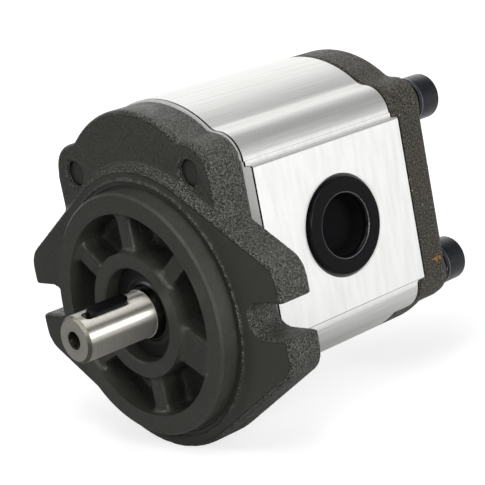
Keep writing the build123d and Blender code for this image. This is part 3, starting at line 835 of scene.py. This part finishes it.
def cut_thread(
    made: Shape, start_mm: float, end_mm: float, depth_mm: float, pitch_mm: float, axis: str = "Y",
) -> None:
    """Sinks a helical V groove into the wall of a spun shape that still stands at the origin.

    Args:
        made: The shape, changed in place. Its wall needs several points per turn of the thread.
        start_mm: Where the thread starts along the axis.
        end_mm: Where it ends.
        depth_mm: The depth of the groove. Less than 0 raises a ridge instead.
        pitch_mm: The length of one turn.
        axis: X or Y, the direction of the axis.
    """
    length, width = (0, 1) if axis == "X" else (1, 0)
    for vert in made.verts:
        along = vert.co[length] / MM
        radius = math.hypot(vert.co[width], vert.co.z) / MM
        if not start_mm < along < end_mm or radius < THREAD_CORE_MM:
            continue
        turn = (along / pitch_mm + math.atan2(vert.co.z, vert.co[width]) / math.tau) % 1.0
        ease = min(1.0, (along - start_mm) / pitch_mm, (end_mm - along) / pitch_mm)
        scale = 1.0 - depth_mm * ease * max(0.0, 1.0 - abs(2.0 * turn - 1.0) * THREAD_FLANK) / radius
        vert.co.z *= scale
        vert.co[width] *= scale


def rows(start_mm: float, end_mm: float, radius_mm: float, step_mm: float) -> list[Pair]:
    """Profile points along a straight wall, spaced evenly and no more than a step apart."""
    count = max(1, math.ceil(abs(end_mm - start_mm) / step_mm))
    return [(start_mm + (end_mm - start_mm) * i / count, radius_mm) for i in range(count + 1)]


def arc(
    along_mm: float, radius_mm: float, size_mm: Pair, start_deg: float, end_deg: float, steps: int = 5,
) -> list[Pair]:
    """Profile points on a part of an ellipse.

    Args:
        along_mm: Its centre's place along the axis.
        radius_mm: Its centre's distance from the axis.
        size_mm: Its half sizes along and across the axis.
        start_deg: Where it starts. 0 is along the axis and 90 is outwards.
        end_deg: Where it ends.
        steps: How many steps it has.

    Returns:
        The points.
    """
    angles = [math.radians(start_deg + (end_deg - start_deg) * i / steps) for i in range(steps + 1)]
    return [(along_mm + size_mm[0] * math.cos(a), radius_mm + size_mm[1] * math.sin(a)) for a in angles]


def bolt_centres() -> list[Pair]:
    """The bolts' places in X and Z in mm, the upper two first, from the box of the CAD bolts."""
    low, high = (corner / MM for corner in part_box("tie_bolts"))
    inset = HEAD_R_MM
    return [(x, z) for z in (high.z - inset, low.z + inset) for x in (low.x + inset, high.x - inset)]


@dataclass
class SubAssembly:
    """Pieces that belong together. Subclasses build their pieces in build."""

    materials: dict[Slot, bpy.types.Material]

    def dress(self, piece: Piece, slot: Slot) -> None:
        """Gives a piece its finish."""
        piece.data.materials.clear()
        piece.data.materials.append(self.materials[slot])

    def dress_nodes(self, slot: Slot, *nodes: str) -> None:
        """Gives CAD nodes that keep their shape their finish.

        Args:
            slot: Their finish.
            nodes: The CAD nodes.
        """
        for node in nodes:
            self.dress(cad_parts[node], slot)
            log.info("%s keeps its CAD shape, in %s", node, FINISHES[slot].name)

    def place(self, piece: Piece, body: Body, slot: Slot, node: str) -> None:
        """Gives a new piece its finish and its body, and hides the CAD node that it replaces.

        Args:
            piece: The new piece.
            body: The body that it rides on.
            slot: Its finish.
            node: The CAD node that it replaces.
        """
        self.dress(piece, slot)
        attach(piece, body.value)
        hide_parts(node)
        log.info("%s replaces %s with %d faces", piece.name, node, len(piece.data.polygons))

    def refine(
        self, node: str, name: str, body: Body, slot: Slot, width_mm: float, *tools: Shape,
        smooth_deg: float = 32.0,
    ) -> None:
        """Replaces a CAD node with a copy whose edges are broken.

        Args:
            node: The CAD node.
            name: The new piece's name.
            body: The body that it rides on.
            slot: Its finish.
            width_mm: The width of the broken edges.
            tools: Shapes that are cut away.
            smooth_deg: Edges sharper than this stay sharp.
        """
        made = cad_mesh(node)
        break_edges(made, width_mm)
        piece = to_object(made, name, smooth_deg)
        cut(piece, *tools)
        mark_sharp(piece, smooth_deg)
        # Large faces set the shading, so that narrow edges don't bend it.
        weigh = piece.modifiers.new("flat_faces", "WEIGHTED_NORMAL")
        weigh.weight = 100
        weigh.keep_sharp = True
        settle(piece)
        self.place(piece, body, slot, node)

    def cast(self, node: str, made: Shape, voxel_mm: float, passes: int, joint_y_mm: float) -> Piece:
        """Gives a cover the soft edges and filled inner corners of a sand casting.

        Its outer edge is drawn in at the joint, which leaves a shadow line there.

        Args:
            node: The CAD node that it stands for.
            made: The cover's mesh, freed here.
            voxel_mm: The size of the new mesh's cells.
            passes: How far its inner corners fill up.
            joint_y_mm: Where its joint is along Y.

        Returns:
            The casting.
        """
        piece = to_object(made, "cast_" + node)
        mesher = piece.modifiers.new("mould", "REMESH")
        mesher.mode = "VOXEL"
        mesher.voxel_size = voxel_mm * MM
        settle(piece)
        for rate in (0.5, -0.53, 0.5, -0.53):
            relax(piece, 1, rate)
        relax(piece, passes, 0.5, hollows_only=True)
        relax(piece, 1, 0.5)
        mark_sharp(piece, 60.0)
        for vert in piece.data.vertices:
            outwards = Vector((vert.normal.x, 0.0, vert.normal.z))
            if abs(vert.co.y - joint_y_mm * MM) < JOINT_MM[0] * MM and outwards.length > 0.4:
                vert.co -= outwards.normalized() * JOINT_MM[1] * MM
        return piece

    def build(self) -> None:
        """Builds and dresses the pieces."""


@dataclass
class FrontCover(SubAssembly):
    """The cast front cover. Its pilot, bore and screw holes are machined after casting."""

    voxel_mm: float = 0.78
    stock_mm: float = 1.2
    far_mm: float = -12.0
    pilot_r_mm: float = 41.275
    pilot_h_mm: float = 6.35
    pilot_chamfer_mm: float = 0.8
    pilot_reach_mm: float = 42.5
    facing_r_mm: float = 46.0
    groove_mm: Pair = (0.8, 0.4)
    bore_r_mm: float = 16.0
    bore_end_mm: float = 5.9
    bore_chamfer_mm: float = 0.6
    plate_y_mm: float = 2.4
    hole_r_mm: float = 4.3
    thread_r_mm: float = 4.95
    joint_y_mm: float = 16.6

    def leave_stock(self, made: Shape) -> None:
        """Makes the pilot a little too large and its bore too small, to be turned to size later.

        Args:
            made: The cover's mesh, changed in place.
        """
        stock = self.stock_mm * MM
        for vert in made.verts:
            radius = math.hypot(vert.co.x, vert.co.z)
            on_pilot = (self.pilot_r_mm - self.stock_mm) * MM < radius < self.pilot_reach_mm * MM
            if vert.co.y < 0.5 * MM and on_pilot:
                vert.co *= Vector((1 + stock / radius, 1, 1 + stock / radius))
            if vert.co.y < 0.0 and radius < (self.bore_r_mm + 1.0) * MM:
                vert.co *= Vector((1 - stock / radius, 1, 1 - stock / radius))
            if vert.co.y < (0.1 - self.pilot_h_mm) * MM:
                vert.co.y -= stock

    def turn(self, cover: Piece) -> None:
        """Turns the pilot with its chamfer and the groove at its foot, faces it, and bores the seal's seat.

        Args:
            cover: The cover, changed in place.
        """
        width, depth = self.groove_mm
        far, face, pilot, bore = self.far_mm, -self.pilot_h_mm, self.pilot_r_mm, self.bore_r_mm
        chamfer, mouth = self.pilot_chamfer_mm, self.bore_r_mm + self.bore_chamfer_mm
        around = spun([
            (far, pilot - chamfer), (face, pilot - chamfer), (face + chamfer, pilot), (depth, pilot),
            (depth, pilot + width), (0.0, pilot + width + 0.2), (-0.02, pilot + 2 * self.stock_mm),
            (far, pilot + 2 * self.stock_mm),
        ], steps=256)
        ahead = spun([(far, 0.0), (face, 0.0), (face, self.facing_r_mm), (far, self.facing_r_mm)], steps=64)
        inside = spun([
            (far, 0.0), (far, mouth), (face, mouth), (face + self.bore_chamfer_mm, bore),
            (self.bore_end_mm, bore), (self.bore_end_mm, 0.0),
        ], steps=160)
        cut(cover, around, ahead, inside)

    def drill_holes(self, cover: Piece) -> None:
        """Opens the two upper screw holes at the front face, with two turns of thread in each.

        Args:
            cover: The cover, changed in place.
        """
        plate, hole, thread = self.plate_y_mm, self.hole_r_mm, self.thread_r_mm
        for x_mm, z_mm in bolt_centres()[:2]:
            cut(cover, spun([
                (plate - 1.5, 0.0), (plate - 1.5, hole + 0.45), (plate - 0.05, hole + 0.45),
                (plate + 0.4, hole), (plate + 0.75, thread), (plate + 1.1, hole), (plate + 1.5, hole),
                (plate + 1.85, thread), (plate + 2.4, thread), (plate + 2.4, 0.0),
            ], (x_mm, 0.0, z_mm), steps=64))

    def build(self) -> None:
        """Builds the front cover."""
        made = cad_mesh("front_cover")
        self.leave_stock(made)
        cover = self.cast("front_cover", made, self.voxel_mm, 14, self.joint_y_mm)
        self.turn(cover)
        self.drill_holes(cover)
        mark_sharp(cover, 42.0)
        self.place(cover, Body.PUMP, Slot.BLACK_CAST, "front_cover")


@dataclass
class RearCover(SubAssembly):
    """The cast rear cover."""

    voxel_mm: float = 0.75
    joint_y_mm: float = 85.7

    def build(self) -> None:
        """Builds the rear cover."""
        cover = self.cast("rear_cover", cad_mesh("rear_cover"), self.voxel_mm, 10, self.joint_y_mm)
        self.place(cover, Body.PUMP, Slot.DARK_CAST, "rear_cover")


@dataclass(frozen=True)
class Port:
    """One threaded port and the plug in it. Its side is 1 on +X and -1 on -X."""

    side: int
    bore_r_mm: float
    chamfer_r_mm: float
    pad_x_mm: float = 43.5
    centre_y_mm: float = 51.15
    centre_z_mm: float = 15.75

    def spin(self, profile: Profile, steps: int = 128) -> Shape:
        """Spins a profile, measured outwards from the pump's middle, about X at the origin."""
        return spun([(self.side * along, radius) for along, radius in profile], axis="X", steps=steps)

    def move(self, made: Shape) -> Shape:
        """Moves a shape from the origin onto the port's axis."""
        spot = Vector((0, self.centre_y_mm, self.centre_z_mm)) * MM
        bmesh.ops.translate(made, verts=made.verts, vec=spot)
        return made


SUCTION_PORT = Port(1, 15.5, 17.1)
PRESSURE_PORT = Port(-1, 12.4, 14.0)


@dataclass
class Housing(SubAssembly):
    """The extruded aluminium gear housing, with threads cut in its ports."""

    edge_mm: float = 0.25
    pitch_mm: float = 1.8
    thread_mm: float = 1.0
    thread_length_mm: float = 15.0
    ring_mm: Pair = (0.4, 0.28)

    def port_tools(self, port: Port) -> tuple[Shape, Shape]:
        """Makes the tools for the thread of one port and the fine ring line round its mouth.

        Args:
            port: The port.

        Returns:
            The two shapes.
        """
        mouth = port.pad_x_mm - (port.chamfer_r_mm - port.bore_r_mm)
        start, end = mouth + 0.6, mouth - self.thread_length_mm
        tool = port.spin([(start, 0.0), *rows(start, end, port.bore_r_mm - 0.02, 0.3), (end, 0.0)], 72)
        low, high = sorted((port.side * end, port.side * start))
        cut_thread(tool, low, high, -self.thread_mm, self.pitch_mm, "X")
        gap, half = self.ring_mm
        ring, pad = port.chamfer_r_mm + gap, port.pad_x_mm
        groove = port.spin([(pad + 0.1, ring - half), (pad + 0.1, ring + half), (pad - half, ring)])
        return port.move(tool), port.move(groove)

    def build(self) -> None:
        """Builds the housing."""
        tools = [tool for port in (SUCTION_PORT, PRESSURE_PORT) for tool in self.port_tools(port)]
        names = ("gear_housing", "extruded_gear_housing")
        self.refine(*names, Body.PUMP, Slot.BARE_ALUMINIUM, self.edge_mm, *tools)


@dataclass
class Rotors(SubAssembly):
    """The drive shaft with its gear and key, and the driven gear shaft."""

    edge_mm: float = 0.15
    tip_y_mm: float = -31.75
    centre_r_mm: float = 2.5
    thread_length_mm: float = 12.0
    ridge_mm: float = 0.45
    pitch_mm: float = 1.0

    def build(self) -> None:
        """Builds the rotating pieces."""
        start, end = self.tip_y_mm + 0.3, self.tip_y_mm + self.thread_length_mm
        wall = rows(start, end, self.centre_r_mm - 0.02, 0.17)
        tool = spun([(start, 0.0), *wall, (end, 0.0)], steps=40)
        cut_thread(tool, start, end, -self.ridge_mm, self.pitch_mm)
        names = ("drive_gear_shaft", "ground_drive_shaft")
        self.refine(*names, Body.DRIVE, Slot.GROUND_STEEL, self.edge_mm, tool, smooth_deg=30.0)
        self.refine("shaft_key", "shaft_key_steel", Body.DRIVE, Slot.BLACK_OXIDE, 0.3)
        self.dress_nodes(Slot.GROUND_STEEL, "driven_gear_shaft")


@dataclass
class Fastenings(SubAssembly):
    """The four tie bolts with their lock washers, and the dowel pins."""

    head_h_mm: float = 10.0
    shank_r_mm: float = 5.0
    tip_y_mm: float = 4.2
    tip_mm: float = 0.9
    seat_y_mm: float = 104.2
    hex_r_mm: float = 8.0 / math.sqrt(3)
    hex_depth_mm: float = 5.0
    thread_mm: Pair = (1.5, 0.85)
    thread_end_y_mm: float = 36.0
    rim_mm: float = 0.9
    foot_mm: float = 0.7

    def bolt(self, x_mm: float, z_mm: float) -> Piece:
        """One socket-head screw: thread, shank, head with a rounded rim, and a hexagon socket.

        Args:
            x_mm: Its place in X.
            z_mm: Its place in Z.

        Returns:
            The screw.
        """
        tip, seat, top = self.tip_y_mm, self.seat_y_mm, self.seat_y_mm + self.head_h_mm
        shank, head, rim, foot = self.shank_r_mm, HEAD_R_MM, self.rim_mm, self.foot_mm
        made = spun([
            (tip, 0.0), (tip, shank - self.tip_mm),
            *rows(tip + self.tip_mm, self.thread_end_y_mm, shank, 0.3),
            (seat, shank), (seat, head - foot), (seat + foot, head),
            *arc(top - rim, head - rim, (rim, rim), 90.0, 0.0),
            (top, self.hex_r_mm + 0.15), (top - 0.45, self.hex_r_mm - 0.35), (top - 0.45, 0.0),
        ], steps=48)
        pitch, depth = self.thread_mm
        cut_thread(made, tip + 0.5, self.thread_end_y_mm, depth, pitch)
        bmesh.ops.translate(made, verts=made.verts, vec=Vector((x_mm, 0.0, z_mm)) * MM)
        bolt = to_object(made, "tie_bolt")
        hexagon = bmesh.new()
        bmesh.ops.create_cone(
            hexagon, cap_ends=True, segments=6, radius1=self.hex_r_mm * MM, radius2=self.hex_r_mm * MM,
            depth=2 * self.hex_depth_mm * MM,
            matrix=Matrix.Translation(Vector((x_mm, top, z_mm)) * MM) @ Matrix.Rotation(math.pi / 2, 4, "X"),
        )
        cut(bolt, hexagon)
        mark_sharp(bolt, 32.0)
        return bolt

    def build(self) -> None:
        """Builds the fastenings."""
        joined = bmesh.new()
        for x_mm, z_mm in bolt_centres():
            bolt = self.bolt(x_mm, z_mm)
            joined.from_mesh(bolt.data)
            bpy.data.objects.remove(bolt)
        self.place(to_object(joined, "tie_bolt_set"), Body.PUMP, Slot.BLACK_OXIDE, "tie_bolts")
        self.refine("lock_washers", "lock_washer_set", Body.PUMP, Slot.BLACK_OXIDE, 0.7)
        self.dress_nodes(Slot.GROUND_STEEL, "dowel_pins")


@dataclass
class PortPlugs(SubAssembly):
    """The two push-in plugs. Each has a proud rim, a rounded mouth, a bowl and two grip ribs."""

    rim_gap_mm: float = 1.05
    edge_mm: float = 0.4
    proud_mm: float = 1.5
    wall_mm: float = 4.3
    mouth_mm: float = 1.7
    length_mm: float = 13.0
    slide_mm: float = 0.08
    groove_mm: float = 0.5
    bowl_mm: float = 5.0

    def plug(self, port: Port, name: str) -> Piece:
        """Builds the plug of one port.

        Args:
            port: The port.
            name: The plug's name.

        Returns:
            The plug.
        """
        edge, mouth, bowl = self.edge_mm, self.mouth_mm, self.bowl_mm
        rim = port.chamfer_r_mm - self.rim_gap_mm
        face = port.pad_x_mm + self.proud_mm
        shank = port.bore_r_mm - self.slide_mm
        groove = shank - self.groove_mm
        seat = port.pad_x_mm - self.rim_gap_mm + 0.15
        inner = port.pad_x_mm - self.length_mm
        lip = rim - self.wall_mm
        cup = lip - mouth - 0.2
        floor = inner + 2.0
        made = port.spin([
            (inner, 0.0), (inner, shank - 0.8), (inner + 2.5, shank),
            (inner + 4.0, shank), (inner + 4.0, groove), (inner + 5.0, groove), (inner + 5.0, shank),
            (inner + 6.5, shank), (inner + 6.5, groove), (inner + 7.5, groove), (inner + 7.5, shank),
            (seat - (rim - shank), shank), (seat, rim),
            *arc(face - edge, rim - edge, (edge, edge), 90.0, 0.0, 6), (face, rim - 1.0), (face, lip + 0.1),
            *arc(face - mouth, lip, (mouth, -mouth), 0.0, 90.0, 8), (floor + bowl, cup),
            *arc(floor + bowl, 0.0, (-bowl, cup), 80.0, 10.0, 8), (floor, 0.0),
        ])
        return to_object(port.move(made), name, 40.0)

    def build(self) -> None:
        """Builds the plugs."""
        for port, side, body in (
            (SUCTION_PORT, "suction", Body.SUCTION_PLUG), (PRESSURE_PORT, "pressure", Body.PRESSURE_PLUG),
        ):
            self.place(self.plug(port, side + "_cap"), body, Slot.PLUG_PLASTIC, side + "_port_plug")


@dataclass
class Inside(SubAssembly):
    """The bearing blocks, their liners and every seal."""

    spring_r_mm: float = 11.35
    spring_y_mm: float = 3.2
    coil_r_mm: float = 0.53
    wire_r_mm: float = 0.2
    coils: int = 150
    coil_steps: int = 8

    def garter_spring(self) -> Piece:
        """Winds the closed coil spring that presses the seal's lip on the shaft.

        Returns:
            The spring.
        """
        path = bpy.data.curves.new("garter_spring", "CURVE")
        path.dimensions = "3D"
        path.bevel_depth = self.wire_r_mm * MM
        path.bevel_resolution = 1
        wire = path.splines.new("POLY")
        count = self.coils * self.coil_steps
        wire.points.add(count - 1)
        for index, point in enumerate(wire.points):
            round_pump = math.tau * index / count
            round_coil = math.tau * index / self.coil_steps
            radius = self.spring_r_mm + self.coil_r_mm * math.cos(round_coil)
            point.co = (
                radius * math.cos(round_pump) * MM,
                (self.spring_y_mm + self.coil_r_mm * math.sin(round_coil)) * MM,
                radius * math.sin(round_pump) * MM,
                1.0,
            )
        wire.use_cyclic_u = True
        holder = add_object("garter_spring_path", path)
        wound = bmesh.new()
        wound.from_mesh(evaluated_mesh(holder))
        bpy.data.objects.remove(holder)
        return to_object(wound, "wound_garter_spring", 60.0)

    def build(self) -> None:
        """Dresses the inner pieces and winds the seal's spring."""
        for end in ("front", "rear"):
            self.dress_nodes(Slot.BLOCK_ALUMINIUM, end + "_bearing_block")
            self.dress_nodes(Slot.BRONZE, end + "_drive_liner", end + "_driven_liner")
            self.dress_nodes(Slot.RUBBER, end + "_balance_seal", end + "_housing_seal")
            self.dress_nodes(Slot.SEAL_PLASTIC, end + "_backup_ring")
        self.dress_nodes(Slot.CASE_STEEL, "shaft_seal_case")
        self.refine("shaft_seal_lip", "moulded_seal_lip", Body.PUMP, Slot.RUBBER, 0.12)
        self.place(self.garter_spring(), Body.PUMP, Slot.SPRING_STEEL, "seal_garter_spring")


@dataclass(frozen=True)
class Softbox:
    """A large soft lamp. Level is the share of full white that it gives a face square to it."""

    name: str
    place_m: Triple
    size_m: Pair
    level: float

    def build(self, target: Vector) -> None:
        """Adds the lamp, turned to the target.

        Args:
            target: The point that it faces.
        """
        lamp = bpy.data.lights.new(self.name, "AREA")
        lamp.shape = "RECTANGLE"
        lamp.size, lamp.size_y = self.size_m
        away = Vector(self.place_m)
        lamp.energy = self.level * math.pi ** 2 * away.length_squared
        holder = add_object(self.name, lamp)
        holder.location = target + away
        holder.rotation_euler = away.to_track_quat("Z", "Y").to_euler()


@dataclass
class Studio:
    """A plain pale floor, soft lamps and the camera.

    A ramp is where it starts and ends, and its levels there. The room's ramps run along the view
    direction of a reflection, and the floor's along the distance from the pump's origin.
    """

    azimuth_deg: float = 49.572
    elevation_deg: float = 11.926
    roll_deg: float = 10.965
    distance_m: float = 0.53725
    aim_m: Triple = (0.00187, 0.04284, 0.01087)
    lens_mm: float = 116.24
    room_level: float = 0.2
    room_overhead: Ramp = (0.1, 0.5, 0.6, 0.28)
    room_ahead: Ramp = (0.0, 0.4, 0.12, 1.0)
    room_aside: Ramp = (-0.35, 0.1, 1.45, 0.0)
    sheet_deg: tuple[Pair, ...] = ((41.0, 46.0), (101.0, 95.0))
    sheet_ahead: tuple[Pair, ...] = ((-1.0, -0.9), (0.35, 0.25))
    floor_m: float = 8.0
    floor_grey: str = "#b4b4b4"
    floor_seen: Ramp = (0.12, 0.45, 0.72, 1.0)
    floor_behind: Ramp = (0.03, 0.14, 0.0, 0.5)
    floor_far: Ramp = (0.3, 0.9, 0.0, 0.5)
    floor_beside: Ramp = (0.12, 0.14, 0.0, 1.2)
    floor_front_m: float = 0.05
    lamps: tuple[Softbox, ...] = (
        Softbox("overhead_box", (0.3, -0.3, 0.95), (0.35, 0.95), 0.52),
        Softbox("side_box", (1.0, -0.16, 0.14), (0.5, 0.34), 0.84),
        Softbox("front_box", (-0.7, -0.8, 0.6), (0.3, 0.3), 0.2),
        Softbox("fill_box", (0.75, -0.65, 0.35), (0.3, 0.3), 0.1),
    )

    def build(self) -> None:
        """Builds the room, the lamps and the camera."""
        self.build_room()
        self.build_floor()
        for lamp in self.lamps:
            lamp.build(Vector(self.aim_m))
        self.build_camera()

    def build_room(self) -> None:
        """Makes the world. It looks white, and metal shows a room that darkens overhead and in front."""
        room = bpy.data.worlds.new("white_room")
        nodes = Nodes(room)
        x, y, z = (nodes.along(axis, "Generated") for axis in "XYZ")
        walls = nodes.math("MAXIMUM", nodes.ramp(z, *self.room_overhead), nodes.ramp(x, *self.room_aside))
        behind = nodes.math("MULTIPLY", walls, nodes.ramp(y, *self.room_ahead))
        # A soft white sheet over the shaft, which its stretched gloss shows as a bright band.
        angle = nodes.math("ARCTAN2", z, x)
        sheet, *edges = [nodes.ramp(angle, *(math.radians(v) for v in edge)) for edge in self.sheet_deg]
        for edge in (*edges, *(nodes.ramp(y, *edge) for edge in self.sheet_ahead)):
            sheet = nodes.math("MULTIPLY", sheet, edge)
        straight, glossy = nodes.rays()
        soft = nodes.mix(glossy, self.room_level, nodes.math("MAXIMUM", behind, sheet))
        glow = nodes.glow("ShaderNodeBackground", nodes.math("MAXIMUM", soft, straight))
        nodes.add("ShaderNodeOutputWorld", {"Surface": glow})
        bpy.context.scene.world = room

    def build_floor(self) -> None:
        """Lays the floor at the pump's lowest point. Away from the pump it fades into the white."""
        made = bmesh.new()
        bmesh.ops.create_grid(made, x_segments=1, y_segments=1, size=self.floor_m / 2)
        bmesh.ops.translate(made, verts=made.verts, vec=(0.0, 0.0, CAD_BOUNDS[0].z))
        floor = to_object(made, "studio_floor")
        paper = bpy.data.materials.new("white_paper")
        nodes = Nodes(paper)
        straight, glossy = nodes.rays()
        fade = nodes.ramp(nodes.vector("LENGTH", nodes.place), *self.floor_seen, curve="SMOOTHSTEP")
        seen = nodes.math("MULTIPLY", straight, fade)
        # Metal shows the floor behind the pump as white, and the floor before it as grey.
        x, y = nodes.along("X"), nodes.along("Y")
        behind = nodes.math("ADD", nodes.ramp(y, *self.floor_behind), nodes.ramp(y, *self.floor_far))
        before = nodes.math("LESS_THAN", y, self.floor_front_m)
        strip = nodes.math("MULTIPLY", nodes.ramp(x, *self.floor_beside), before)
        mirrored = nodes.math("MULTIPLY", glossy, nodes.math("MAXIMUM", behind, strip))
        matt = nodes.add("ShaderNodeBsdfDiffuse", {"Color": linear(self.floor_grey)})
        glow = nodes.glow("ShaderNodeEmission", nodes.math("MAXIMUM", seen, mirrored))
        both = nodes.add("ShaderNodeAddShader", {0: (matt, 0), 1: glow})
        nodes.add("ShaderNodeOutputMaterial", {"Surface": (both, 0)})
        floor.data.materials.append(paper)

    def build_camera(self) -> None:
        """Places the camera and turns it about its own axis by the roll."""
        azimuth, elevation = math.radians(self.azimuth_deg), math.radians(self.elevation_deg)
        back = Vector((
            math.sin(azimuth) * math.cos(elevation),
            -math.cos(azimuth) * math.cos(elevation),
            math.sin(elevation),
        ))
        lens = bpy.data.cameras.new("studio_camera")
        lens.lens = self.lens_mm
        lens.sensor_width = 36.0
        lens.clip_start, lens.clip_end = 0.01, 50.0
        camera = add_object("studio_camera", lens)
        roll = Matrix.Rotation(-math.radians(self.roll_deg), 3, "Z").to_quaternion()
        camera.rotation_mode = "QUATERNION"
        camera.rotation_quaternion = back.to_track_quat("Z", "Y") @ roll
        camera.location = Vector(self.aim_m) + back * self.distance_m
        bpy.context.scene.camera = camera
        bpy.context.scene.view_settings.view_transform = "Standard"


def main() -> None:
    """Builds the dressed pump and its studio."""
    logging.basicConfig(level=logging.INFO, format="%(name)s: %(message)s")
    materials = {slot: finish.material() for slot, finish in FINISHES.items()}
    for part in (FrontCover, RearCover, Housing, Rotors, Fastenings, PortPlugs, Inside):
        part(materials).build()
    Studio().build()


if __name__ == "__main__":
    main()
